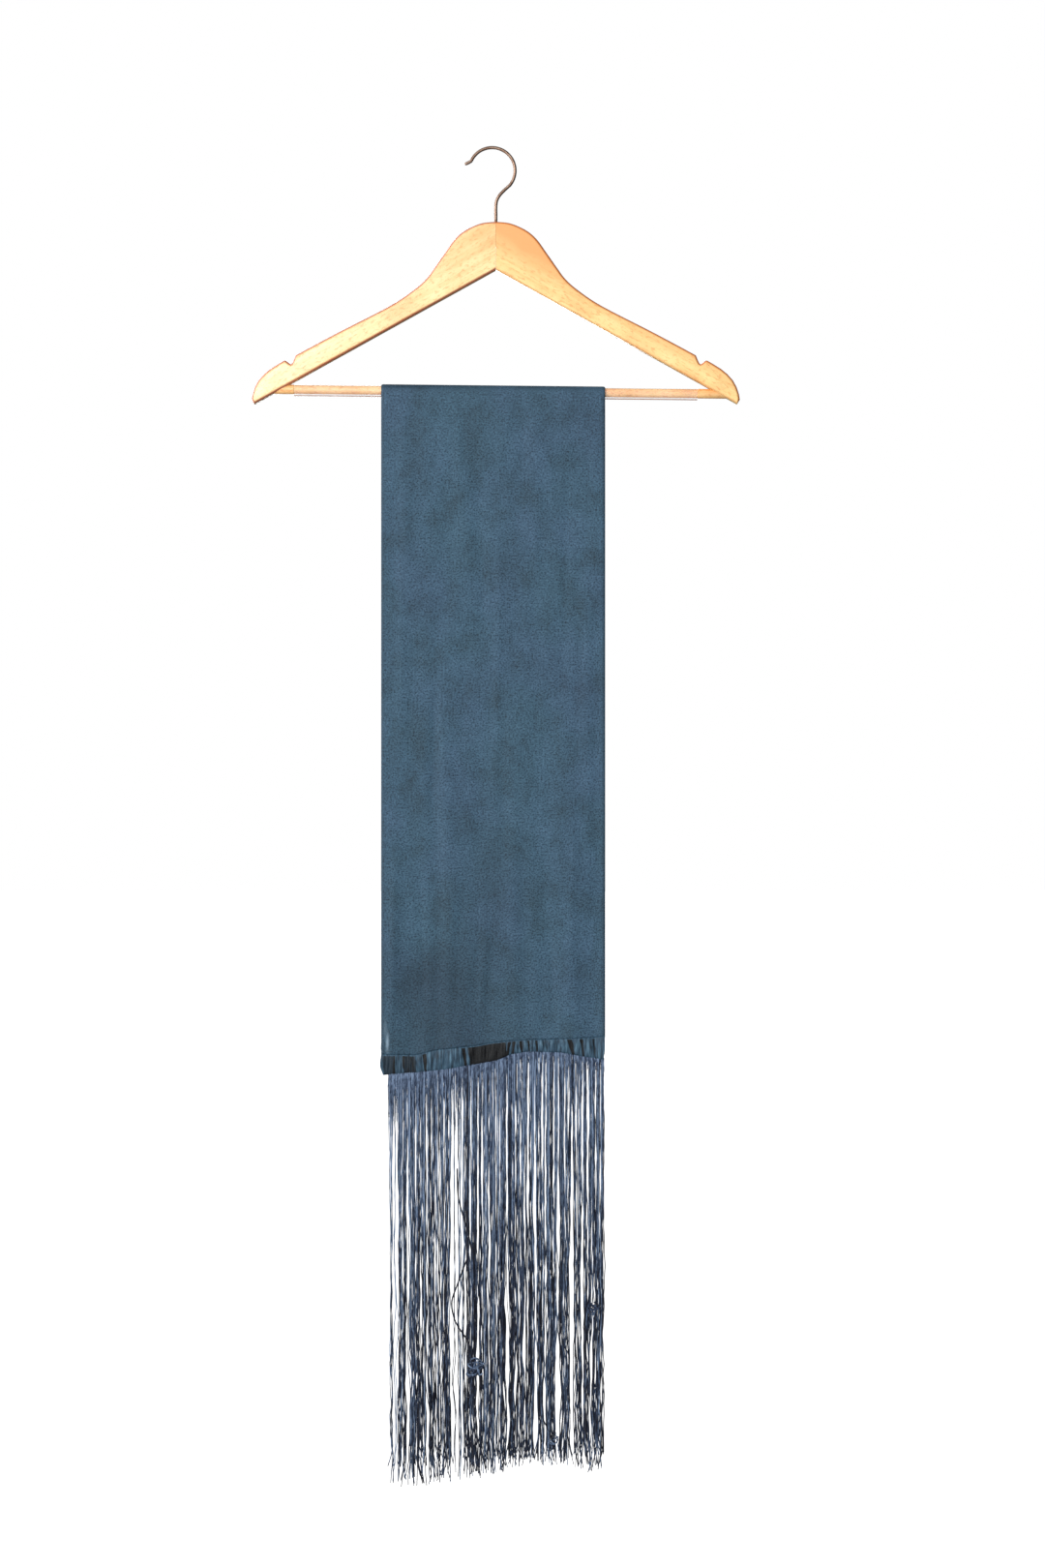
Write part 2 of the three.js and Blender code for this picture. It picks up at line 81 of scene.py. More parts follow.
HANGER_X = 3.4
ARM_SLOPE = 122.3 / 220.4
BAR_DROP = 222.1
BAR_TILT = 0.0105
BAR_RADIUS = 5.2
CLOTH_LEFT = -100.8
CLOTH_WIDTH = 203.7
CLOTH_RADIUS = 6.1

# Lower edges of the cloth and of its gathered band: (across, cloth drop, band drop)
HEMS = {
    Side.FRONT: (
        (0.0, 827.5, 844.8), (30.6, 828.2, 842.7), (52.7, 823.3, 840.6), (81.9, 820.3, 835.9),
        (103.9, 816.7, 832.1), (119.8, 815.2, 825.8), (133.9, 814.4, 823.6),
        (162.2, 813.6, 824.4), (189.6, 812.3, 829.0), (203.7, 810.8, 831.4),
    ),
    Side.BACK: (
        (0.0, 814.0, 829.4), (48.0, 815.2, 829.0), (96.0, 811.4, 825.8),
        (150.0, 806.6, 819.4), (203.7, 804.6, 818.0),
    ),
}

# Long soft folds: (across, half width, height, share of the hang where it starts)
FOLDS = {
    Side.FRONT: (
        (9, 9, 1.1, 0.1), (31, 10, -1.0, 0.55), (51, 6, -1.1, 0.4), (68, 11, 1.5, 0.2),
        (96, 12, -1.2, 0.5), (121, 13, 1.4, 0.15), (150, 9, -0.9, 0.35),
        (172, 12, 1.3, 0.3), (194, 7, -0.8, 0.2),
    ),
    Side.BACK: (
        (14, 10, -0.9, 0.3), (40, 11, 1.4, 0.15), (73, 9, -1.1, 0.4), (101, 13, 1.3, 0.25),
        (132, 8, -1.0, 0.5), (158, 12, 1.5, 0.2), (188, 9, -0.9, 0.35),
    ),
}

# Soft creases: (across at the top, across at the foot, drop of the top,
# drop of the foot, half width, height)
CREASES = {
    Side.FRONT: (
        (49, 46, 480, 625, 3.4, -0.55), (56, 60, 500, 700, 5.0, 0.40),
        (22, 17, 300, 560, 4.5, 0.35), (88, 93, 250, 470, 6.0, -0.35),
        (108, 104, 330, 640, 4.2, 0.40), (139, 143, 240, 420, 5.5, 0.32),
        (170, 164, 290, 520, 4.8, -0.38), (187, 190, 380, 700, 5.2, 0.36),
        (34, 40, 640, 800, 4.6, -0.50), (74, 66, 660, 805, 5.4, -0.55),
        (96, 90, 690, 806, 4.0, 0.45), (153, 158, 700, 806, 3.4, -0.50),
        (126, 131, 560, 800, 5.0, -0.35), (12, 9, 640, 812, 3.2, 0.50),
        (176, 171, 600, 790, 4.4, 0.34), (70, 75, 236, 330, 6.0, 0.28),
    ),
    Side.BACK: (
        (30, 36, 260, 520, 4.8, 0.40), (62, 57, 420, 690, 4.2, -0.45),
        (90, 96, 300, 560, 5.6, 0.36), (120, 113, 520, 790, 4.4, -0.50),
        (146, 150, 240, 430, 5.2, 0.32), (181, 176, 360, 640, 4.6, -0.38),
        (166, 172, 620, 795, 3.8, 0.46), (18, 14, 560, 800, 3.6, -0.42),
        (76, 82, 640, 800, 4.8, 0.44), (103, 100, 250, 360, 6.0, -0.26),
    ),
}

# Painted shade on the front: (across, half width, ragged, share of the hang, half height,
# ragged, strength)
SHADED_PLACES = (
    (34, 22, 1.0, 0.872, 0.03, 0.0, 0.40), (96, 24, 1.0, 0.74, 0.09, 0.002, 0.40),
    (50, 1.8, 1 / 6, 0.55, 0.07, 0.0, 0.30), (150, 60, 0.0, 0.0, 0.05, 0.0, 0.14),
)

# Ripples of the cloth: (depth, width across, length down, row of the noise)
RIPPLES = ((0.42, 17, 120, 5.0), (0.14, 6, 34, 9.0))
FOLD_DEPTH = 0.55  # how much of its full height each fold gets
TOP_SHARE = 0.06  # share of the hang, from the bar, that stays pressed flat

# Gathers of the hem band, each pressed in: (across, half width, depth)
FRONT_GATHERS = (
    (6.8, 4.0, 0.9), (16.5, 4.6, 1.0), (27.0, 4.0, 0.8), (39.5, 2.6, 1.6), (48.6, 2.8, 0.7),
    (58.9, 4.2, 1.2), (76.1, 2.6, 1.6), (86.3, 4.0, 2.0), (96.4, 4.4, 2.2), (106.6, 4.0, 2.0),
    (118.9, 3.0, 1.6), (126.9, 2.5, 1.5), (134.2, 2.5, 1.3), (141.5, 2.5, 1.3),
    (150.9, 2.8, 0.9), (161.3, 2.8, 0.9), (172.8, 3.6, 1.6), (183.4, 3.0, 1.5),
    (194.4, 2.8, 1.0),
)
BACK_GATHERS = 19

# Stretches of the band with near-black painted shade, in the hollows of its gathers: (from, to,
# slant, strength)
FRONT_GATHER_SHADE = (
    (1.6, 12.0, 0.4, 0.50), (11.0, 20.5, -0.8, 0.34), (19.5, 31.5, 0.6, 0.54),
    (37.6, 41.6, 1.2, 0.90), (54.0, 55.4, 0.6, 0.55), (59.5, 62.5, -1.0, 0.40),
    (73.4, 77.6, 2.6, 0.90), (79.5, 113.6, 2.4, 1.0), (114.4, 117.6, -2.0, 0.92),
    (118.8, 122.0, -1.2, 0.90), (125.6, 129.0, 1.4, 0.90), (133.2, 135.5, 1.0, 0.80),
    (140.2, 142.8, 1.0, 0.78), (150.0, 151.6, 0.8, 0.45), (158.6, 161.4, -0.6, 0.40),
    (169.8, 175.4, 3.4, 0.80), (181.4, 184.6, 2.2, 0.70), (192.2, 195.6, 2.4, 0.55),
)

# Locks that the fringe hangs in: (across, width, threads in front)
LOCKS = (
    (8.8, 1.2, 2), (12.8, 0.8, 1), (18.9, 4.8, 9), (29.3, 8.4, 15), (38.5, 3.6, 6),
    (44.9, 5.0, 8), (51.3, 2.2, 3), (58.2, 6.4, 11), (66.8, 1.4, 1), (70.8, 1.4, 2),
    (74.6, 1.4, 2), (82.7, 8.4, 16), (93.4, 6.4, 11), (102.6, 6.6, 11), (110.6, 5.0, 9),
    (118.2, 6.2, 11), (126.2, 5.0, 8), (135.5, 6.0, 11), (144.9, 6.0, 11), (154.6, 8.2, 15),
    (167.1, 7.0, 13), (179.2, 5.6, 8), (187.9, 4.8, 9), (197.2, 8.6, 15),
)


# ---------- small helpers

def linear(code: str) -> tuple[float, float, float, float]:
    """Turn an sRGB hex colour into linear RGBA.

    Args:
        code: Colour such as "#466478".

    Returns:
        Linear red, green, blue and an alpha of 1.
    """
    levels = (int(code[i:i + 2], 16) / 255 for i in (1, 3, 5))
    return (*(v / 12.92 if v <= 0.04045 else ((v + 0.055) / 1.055) ** 2.4 for v in levels), 1.0)


def smoothstep(value: float, low: float, high: float) -> float:
    """Ease from 0 at low to 1 at high."""
    share = min(max((value - low) / (high - low), 0.0), 1.0)
    return share * share * (3 - 2 * share)


def mix(low: float, high: float, share: float) -> float:
    """Value between low and high at a share of the way."""
    return low + (high - low) * share


def hump(distance: float, width: float) -> float:
    """Soft hump of height 1 and the given half width."""
    return math.exp(-((distance / width) ** 2))


def wander(seed: float, along: float, row: float) -> float:
    """Smooth noise from about -1 to 1 along a line."""
    return noise.noise(Vector((seed, along, row)))


def waves(seed: float, share: float, rows: Sequence[tuple]) -> float:
    """Sum of smooth noises, each given as (size, rate, row)."""
    return sum(size * wander(seed, share * rate, row) for size, rate, row in rows)


def table_value(rows: Sequence[tuple], place: float, column: int) -> float:
    """Read a table whose first column is a place, half eased between its rows.

    Args:
        rows: Table rows in rising order of place.
        place: Where to read it.
        column: Which column to read.

    Returns:
        The eased value.
    """
    for low, high in zip(rows, rows[1:]):
        if place <= high[0]:
            break
    share = min(max((place - low[0]) / (high[0] - low[0]), 0.0), 1.0)
    eased = mix(share, share * share * (3 - 2 * share), 0.35)
    return mix(low[column], high[column], eased)


def catmull(a: Sequence, b: Sequence, c: Sequence, d: Sequence, share: float) -> tuple:
    """Take a point between b and c on the smooth curve through a, b, c and d.

    Args:
        a: Row before b.
        b: Row at a share of 0.
        c: Row at a share of 1.
        d: Row after c.
        share: Share of the way from b to c.

    Returns:
        The point.
    """
    square, cube = share * share, share ** 3
    return tuple(
        0.5 * (2 * q + (r - p) * share + (2 * p - 5 * q + 4 * r - s) * square
               + (3 * q - p - 3 * r + s) * cube)
        for p, q, r, s in zip(a, b, c, d)
    )


def smooth_line(rows: Sequence[tuple], steps: int) -> list[tuple]:
    """Smooth line through rows of numbers.

    Args:
        rows: The rows it passes through.
        steps: Points for each row but the last.

    Returns:
        The line's points.
    """
    line = []
    for at in range(len(rows) - 1):
        before, after = rows[max(at - 1, 0)], rows[min(at + 2, len(rows) - 1)]
        for step in range(steps):
            line.append(catmull(before, rows[at], rows[at + 1], after, step / steps))
    line.append(tuple(rows[-1]))
    return line


def bar_drop(across: float) -> float:
    """Drop of the bar's axis below the origin at a place across the scarf."""
    return BAR_DROP + BAR_TILT * (CLOTH_LEFT + across - HANGER_X)


def at_scarf(side: Side, across: float, out: float, drop: float) -> Vector:
    """Point of the scarf, in metres, from its millimetre measures."""
    return Vector((CLOTH_LEFT + across, side.value * out, -drop)) * MM


def mesh_of(name: str, source: BMesh) -> bpy.types.Mesh:
    """Turn a bmesh into a smooth-shaded mesh.

    Args:
        name: The mesh's name.
        source: The bmesh, which is freed.

    Returns:
        The mesh.
    """
    mesh = bpy.data.meshes.new(name)
    source.to_mesh(mesh)
    source.free()
    mesh.shade_smooth()
    return mesh


def new_piece(name: str, source: BMesh) -> Object:
    """Make a piece of a bmesh and let it ride on the root body.

    Args:
        name: The piece's name.
        source: Its bmesh, which is freed.

    Returns:
        The piece.
    """
    piece = bpy.data.objects.new(name, mesh_of(name, source))
    bpy.context.scene.collection.objects.link(piece)
    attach(piece, "root")
    return piece


def solidify(piece: Object, thickness: float) -> None:
    """Give a sheet its thickness, half to each side.

    Args:
        piece: The sheet.
        thickness: Its thickness in millimetres.
    """
    wall = piece.modifiers.new("wall", "SOLIDIFY")
    wall.thickness = thickness * MM
    wall.offset = 0.0
    wall.use_even_offset = False


def report(piece: Object) -> None:
    """Log a finished piece."""
    LOG.info("%s: %d faces", piece.name, len(piece.data.polygons))


# ---------- finishes

def wire(tree: NodeTree, node: bpy.types.Node, inputs: dict) -> None:
    """Set or link a node's inputs.

    Args:
        tree: The node tree.
        node: The node.
        inputs: Input name or number to a value, or to another node's output socket.
    """
    for key, value in inputs.items():
        if isinstance(value, NodeSocket):
            tree.links.new(value, node.inputs[key])
        else:
            node.inputs[key].default_value = value


def add_node(
    tree: NodeTree, kind: str, inputs: dict | None = None, output: int | str = 0,
    stops: Sequence[tuple[float, str]] = (), **settings: object,
) -> NodeSocket:
    """Add a node with its settings and links.

    Args:
        tree: The node tree.
        kind: Node type, without the "ShaderNode" prefix.
        inputs: Input name or number to a value, or to another node's output socket.
        output: Which output to return.
        stops: (position, sRGB hex) pairs of a colour ramp, in rising order.
        settings: Attributes of the node itself.

    Returns:
        The chosen output socket.
    """
    node = tree.nodes.new("ShaderNode" + kind)
    for key, value in settings.items():
        setattr(node, key, value)
    for at, (position, code) in enumerate(stops):
        band = node.color_ramp.elements
        element = band[at] if at < len(band) else band.new(position)
        element.position = position
        element.color = linear(code)
    wire(tree, node, inputs or {})
    return node.outputs[output]


AddNode = Callable[..., NodeSocket]  # add_node, bound to a material's tree


@dataclass(frozen=True)
class Finish:
    """A surface finish, built as one procedural material."""

    name: str
    slot: Slot

    def shade(self, node: AddNode) -> dict:
        """Add the finish's own nodes.

        Args:
            node: Adds a node to the material.

        Returns:
            The shader's inputs.
        """
        raise NotImplementedError

    def material(self) -> bpy.types.Material:
        """Build the material, unless it has been built.

        Returns:
            The material.
        """
        material = bpy.data.materials.get(self.name)
        if material is None:
            material = bpy.data.materials.new(self.name)
            material.use_nodes = True
            tree = material.node_tree
            wire(tree, tree.nodes["Principled BSDF"], self.shade(partial(add_node, tree)))
        return material

    def dress(self, *pieces: Object) -> None:
        """Give pieces this finish."""
        for piece in pieces:
            piece.data.materials.clear()
            piece.data.materials.append(self.material())


@dataclass(frozen=True)
class LacqueredBeech(Finish):
    """Pale beech, sanded and sprayed with clear lacquer: warm, even, with short flecks."""

    lean: float = 0.0  # radians that bring the grain's direction level
    light: str = "#FBE3A8"
    mid: str = "#F6CF8E"
    dark: str = "#EAB472"
    upper_shade_colour: str = "#EEA45C"
    upper_shade: float = 0.3  # how much painted shade darkens the board's upper side
    upper_shade_low: float = -76 * MM  # where it starts, up the levelled board
    upper_shade_high: float = -55 * MM  # where it is full
    ragged: float = 20 * MM  # how far its border wanders
    edge: str = "#B85A42"  # painted shade on the rounded edges, which turn from the light
    grain: float = 1.6 * MM  # width of a growth line
    fleck: float = 1.0 * MM
    fleck_colour: str = "#DDA268"
    cloud: float = 30.0  # pale and dark patches to the metre

    def shade(self, node: AddNode) -> dict:
        """Growth lines and flecks stretched along the grain, under a satin lacquer, with painted
        shade along the upper side and on the rounded edges.

        Args:
            node: Adds a node to the material.

        Returns:
            The shader's inputs.
        """
        place = node("TexCoord", output="Object")
        level = node("Mapping", {"Vector": place, "Rotation": (0, self.lean, 0)})
        along = node("Mapping", {"Vector": level, "Scale": (0.07, 1, 1)})
        short = node("Mapping", {"Vector": level, "Scale": (0.4, 1, 1)})
        lines = node("TexNoise", {
            "Vector": along, "Scale": 1 / (4 * self.grain), "Detail": 5.0, "Distortion": 0.3})
        flecks = node("TexNoise", {"Vector": short, "Scale": 1 / (2 * self.fleck), "Detail": 2.0})
        cloud = node("TexNoise", {"Vector": place, "Scale": self.cloud, "Detail": 4.0})
        base, patches = (
            node("ValToRGB", {"Fac": pattern}, stops=(
                (low, self.dark), (middle, self.mid), (0.62, self.light)))
            for pattern, low, middle in ((lines, 0.30, 0.44), (cloud, 0.34, 0.47))
        )
        warm = node("MixRGB", {"Fac": 0.5, "Color1": base, "Color2": patches})
        spots = node("ValToRGB", {"Fac": flecks}, stops=((0.32, self.fleck_colour), (0.48, WHITE)))
        flecked = node("MixRGB", {"Fac": 0.5, "Color1": warm, "Color2": spots},
                       blend_type="MULTIPLY")
        height = node("SeparateXYZ", {"Vector": level}, output="Z")
        ragged = node("Math", {0: cloud, 1: self.ragged, 2: height}, operation="MULTIPLY_ADD")
        # painted shade along the board's upper side, which turns from the light
        inner = node("MapRange", {
            "Value": ragged, "From Min": self.upper_shade_low, "From Max": self.upper_shade_high,
            "To Min": 0.0, "To Max": self.upper_shade})
        upper_shaded = node("MixRGB", {"Fac": inner, "Color1": flecked, "Color2": linear(self.upper_shade_colour)})
        # painted shade on the rounded edges, which turn from the light
        rim = node("Attribute", output="Fac", attribute_name="edge")
        colour = node("MixRGB", {"Fac": rim, "Color1": upper_shaded, "Color2": linear(self.edge)})
        normal = node("Bump", {"Height": lines, "Strength": 0.1, "Distance": 0.2 * MM})
        return {
            "Base Color": colour, "Normal": normal, "Roughness": 0.45,
            "Coat Weight": 0.7, "Coat Roughness": 0.17}


@dataclass(frozen=True)
class NickelWire(Finish):
    """Nickel-plated steel wire, drawn and polished: warm grey with fine drawing marks."""

    light: str = "#9C8474"
    dark: str = "#7C6253"
    mark: float = 2.0 * MM

    def shade(self, node: AddNode) -> dict:
        """Metal whose tint and gloss wander a little.

        Args:
            node: Adds a node to the material.

        Returns:
            The shader's inputs.
        """
        place = node("TexCoord", output="Object")
        marks = node("TexNoise", {"Vector": place, "Scale": 1 / (2 * self.mark), "Detail": 3.0})
        tint = node("ValToRGB", {"Fac": marks}, stops=((0.3, self.dark), (0.7, self.light)))
        gloss = node("MapRange", {
            "Value": marks, "From Min": 0.3, "From Max": 0.7, "To Min": 0.24, "To Max": 0.38})
        return {"Base Color": tint, "Roughness": gloss, "Metallic": 1.0}


@dataclass(frozen=True)
class ClearVinyl(Finish):
    """Clear soft vinyl tube, extruded: a thin glossy film, almost without colour.

    Along its lowest line the wall is looked into endwise; the wood's brown seen there is painted on
    as a brown line.
    """

    light: str = WHITE
    dark: str = "#E9E6DE"
    painted_wood_line: str = "#DDA282"
    cloud: float = 6.0 * MM

    def shade(self, node: AddNode) -> dict:
        """See-through film with a sharp gloss, faint cloudy patches and a painted brown line along
        its lowest side.

        Args:
            node: Adds a node to the material.

        Returns:
            The shader's inputs.
        """
        place = node("TexCoord", output="Object")
        patches = node("TexNoise", {"Vector": place, "Scale": 1 / (2 * self.cloud)})
        tint = node("ValToRGB", {"Fac": patches}, stops=((0.3, self.dark), (0.7, self.light)))
        gloss = node("MapRange", {
            "Value": patches, "From Min": 0.3, "From Max": 0.7, "To Min": 0.06, "To Max": 0.16})
        # painted brown line where the wood would show through the wall endwise
        low = node("Attribute", output="Fac", attribute_name="low")
        colour = node("MixRGB", {"Fac": low, "Color1": tint, "Color2": linear(self.painted_wood_line)})
        cover = node("MapRange", {"Value": low, "To Min": 0.08, "To Max": 0.7})
        return {"Base Color": colour, "Roughness": gloss, "Alpha": cover, "IOR": 1.53}


@dataclass(frozen=True)
class BlueCrepe(Finish):
    """Slate-blue crepe, woven of hard-twisted yarn: matt, pebbled and faintly clouded."""

    colour: str = "#416176"
    light: str = "#507289"
    dark: str = "#324959"
    green: str = "#3F6272"
    violet: str = "#445B77"
    shadow: str = "#2A4252"
    glint: str = "#9DB4C6"
    pebble_pit_shade: str = "#596671"  # painted shade between the pebbles of the grain
    flank: str = "#D3DADF"
    yarn_gap_shade: str = "#93A0AC"  # painted shade between the yarns
    wisp: str = "#94A0AA"
    sheen: str = "#9FB6C8"
    pebble: float = 0.8 * MM  # crepe grain, drawn coarser than the real 0.4 mm so that it shows
    yarn: float = 0.5 * MM
    blotch: float = 13.0 * MM

    def shade(self, node: AddNode) -> dict:
        """Pebbled grain and yarns, cloudy dye, faint wisps, painted shade where the piece says, and
        a painted glint on the rolled edge.

        Args:
            node: Adds a node to the material.

        Returns:
            The shader's inputs.
        """
        uv = node("UVMap", output="UV", uv_map="UVMap")
        tone = node("Attribute", output="Fac", attribute_name="tone")
        glint = node("Attribute", output="Fac", attribute_name="glint")
        upright, level, tall = (
            node("Mapping", {"Vector": uv, "Scale": scale})
            for scale in ((1.0, 0.10, 1.0), (0.10, 1.0, 1.0), (1.0, 0.7, 1.0))
        )
        pebbles, warp, weft, clouds, hues, veins = (
            node("TexNoise", {
                "Vector": place, "Scale": 1 / (2 * size), "Detail": detail, "Roughness": rough})
            for place, size, detail, rough in (
                (uv, self.pebble, 4.0, 0.8), (upright, self.yarn, 2.0, 0.5),
                (level, self.yarn, 2.0, 0.5), (tall, self.blotch, 6.0, 0.68),
                (tall, 2 * self.blotch, 3.0, 0.5), (tall, 0.6 * self.blotch, 4.0, 0.7),
            )
        )
        weave = node("Math", {0: warp, 1: weft}, operation="ADD")
        body = node("ValToRGB", {"Fac": clouds}, stops=(
            (0.30, self.dark), (0.50, self.colour), (0.70, self.light)))
        tint = node("ValToRGB", {"Fac": hues}, stops=(
            (0.38, self.green), (0.50, self.colour), (0.62, self.violet)))
        dyed = node("MixRGB", {"Fac": 0.3, "Color1": body, "Color2": tint})
        # painted shade in the pits between the pebbles
        grain = node("ValToRGB", {"Fac": pebbles}, stops=(
            (0.37, self.pebble_pit_shade), (0.50, self.flank), (0.63, WHITE)))
        # painted shade, where the piece's tone says
        toned = node("MixRGB", {"Fac": tone, "Color1": dyed, "Color2": linear(self.shadow)})
        grained = node("MixRGB", {"Fac": 0.95, "Color1": toned, "Color2": grain},
                       blend_type="MULTIPLY")
        # painted shade between the yarns
        slubs = node("ValToRGB", {"Fac": weave}, stops=((0.76, self.yarn_gap_shade), (1.0, WHITE)))
        woven = node("MixRGB", {"Fac": 0.35, "Color1": grained, "Color2": slubs},
                     blend_type="MULTIPLY")
        shift = node("Math", {0: veins, 1: 0.5}, operation="SUBTRACT")
        near = node("Math", {0: shift}, operation="ABSOLUTE")
        thin = node("ValToRGB", {"Fac": near}, stops=((0.0, self.wisp), (0.012, WHITE)))
        some = node("MapRange", {
            "Value": clouds, "From Min": 0.50, "From Max": 0.40, "To Min": 0.0, "To Max": 0.6})
        wisped = node("MixRGB", {"Fac": some, "Color1": woven, "Color2": thin},
                      blend_type="MULTIPLY")
        lit = node("MixRGB", {"Fac": glint, "Color1": wisped, "Color2": linear(self.glint)})
        height = node("Math", {0: weave, 1: 0.5, 2: pebbles}, operation="MULTIPLY_ADD")
        normal = node("Bump", {"Height": height, "Strength": 0.4, "Distance": 0.25 * MM})
        return {
            "Base Color": lit, "Normal": normal, "Roughness": 0.62, "Specular IOR Level": 0.3,
            "Sheen Weight": 0.10, "Sheen Roughness": 0.45, "Sheen Tint": linear(self.sheen)}


@dataclass(frozen=True)
class BlueSatin(Finish):
    """Blue satin, gathered: smooth, with soft upright highlights painted on its ribs and near-black
    shade painted in its hollows.
    """

    colour: str = "#314A5D"
    light: str = "#547488"
    dark: str = "#1A262F"
    gather_shade: str = "#08090B"
    gather_shade_light: str = "#1B1F23"
    rib: float = 1.5 * MM
    pile: float = 700.0  # specks in the painted shade, and fine bumps, to the metre

    def shade(self, node: AddNode) -> dict:
        """Upright fine ribs with painted highlights; near-black painted shade where the piece says.

        Args:
            node: Adds a node to the material.

        Returns:
            The shader's inputs.
        """
        uv = node("UVMap", output="UV", uv_map="UVMap")
        gather_shade_mask = node("Attribute", output="Fac", attribute_name="gather_shade")
        tall = node("Mapping", {"Vector": uv, "Scale": (1.0, 0.2, 1.0)})
        ribs = node("TexNoise", {"Vector": tall, "Scale": 1 / (2 * self.rib), "Detail": 4.0})
        pile = node("TexNoise", {"Vector": uv, "Scale": self.pile, "Detail": 2.0})
        # painted highlights and shade along the upright ribs
        satin = node("ValToRGB", {"Fac": ribs}, stops=(
            (0.30, self.dark), (0.50, self.colour), (0.74, self.light)))
        # near-black painted shade in the hollows of the gathers
        black = node("ValToRGB", {"Fac": pile}, stops=((0.42, self.gather_shade), (0.75, self.gather_shade_light)))
        rough = node("Math", {0: ribs, 1: 0.5, 2: gather_shade_mask}, operation="MULTIPLY_ADD")
        shown = node("MapRange", {
            "Value": rough, "From Min": 0.55, "From Max": 0.85, "To Min": 0.0, "To Max": 1.0})
        colour = node("MixRGB", {"Fac": shown, "Color1": satin, "Color2": black})
        height = node("Math", {0: pile, 1: 0.25, 2: ribs}, operation="MULTIPLY_ADD")
        normal = node("Bump", {"Height": height, "Strength": 0.4, "Distance": 0.4 * MM})
        return {
            "Base Color": colour, "Normal": normal, "Roughness": 0.48, "Anisotropic": 0.5,
            "Specular IOR Level": 0.22}


@dataclass(frozen=True)
class TwistedThread(Finish):
    """Loose two-ply thread dyed indigo: each one of its own tone, speckled with painted highlights
    where its twist turns a ply up.
    """

    light: str = "#788CA8"
    colour: str = "#34445E"
    dark: str = "#10121D"
    sheen: str = "#9AA2CC"
    twist_glint: float = 1.0 * MM
    twist: float = 2.4 * MM  # length of one turn of the two plies

    def shade(self, node: AddNode) -> dict:
        """Tone by thread, painted highlight streaks where a ply turns up, and a slanting twist.

        Args:
            node: Adds a node to the material.

        Returns:
            The shader's inputs.
        """
        tone = node("Attribute", output="Fac", attribute_name="tone")
        place = node("TexCoord", output="Object")
        tall = node("Mapping", {"Vector": place, "Scale": (1.0, 1.0, 0.32)})
        # painted highlights where a ply turns up
        twist_glints = node("TexNoise", {
            "Vector": tall, "Scale": 1 / (2 * self.twist_glint), "Detail": 2.0, "Roughness": 0.7})
        slant = node("Mapping", {"Vector": place, "Rotation": (0, 0.5, 0)})
        plies = node("TexWave", {
            "Vector": slant, "Scale": 1 / (6.3 * self.twist), "Distortion": 1.5}, output="Fac",
            bands_direction="Z")
        share = node("Math", {0: tone, 1: 0.8, 2: -0.37}, operation="MULTIPLY_ADD")
        level = node("Math", {0: twist_glints, 1: 1.3, 2: share}, operation="MULTIPLY_ADD")
        base = node("ValToRGB", {"Fac": level}, stops=(
            (0.36, self.dark), (0.68, self.colour), (1.0, self.light)))
        normal = node("Bump", {"Height": plies, "Strength": 0.15, "Distance": 0.2 * MM})
        return {
            "Base Color": base, "Normal": normal, "Roughness": 0.7, "Specular IOR Level": 0.3,
            "Sheen Weight": 0.15, "Sheen Roughness": 0.5, "Sheen Tint": linear(self.sheen)}


# ---------- hanger

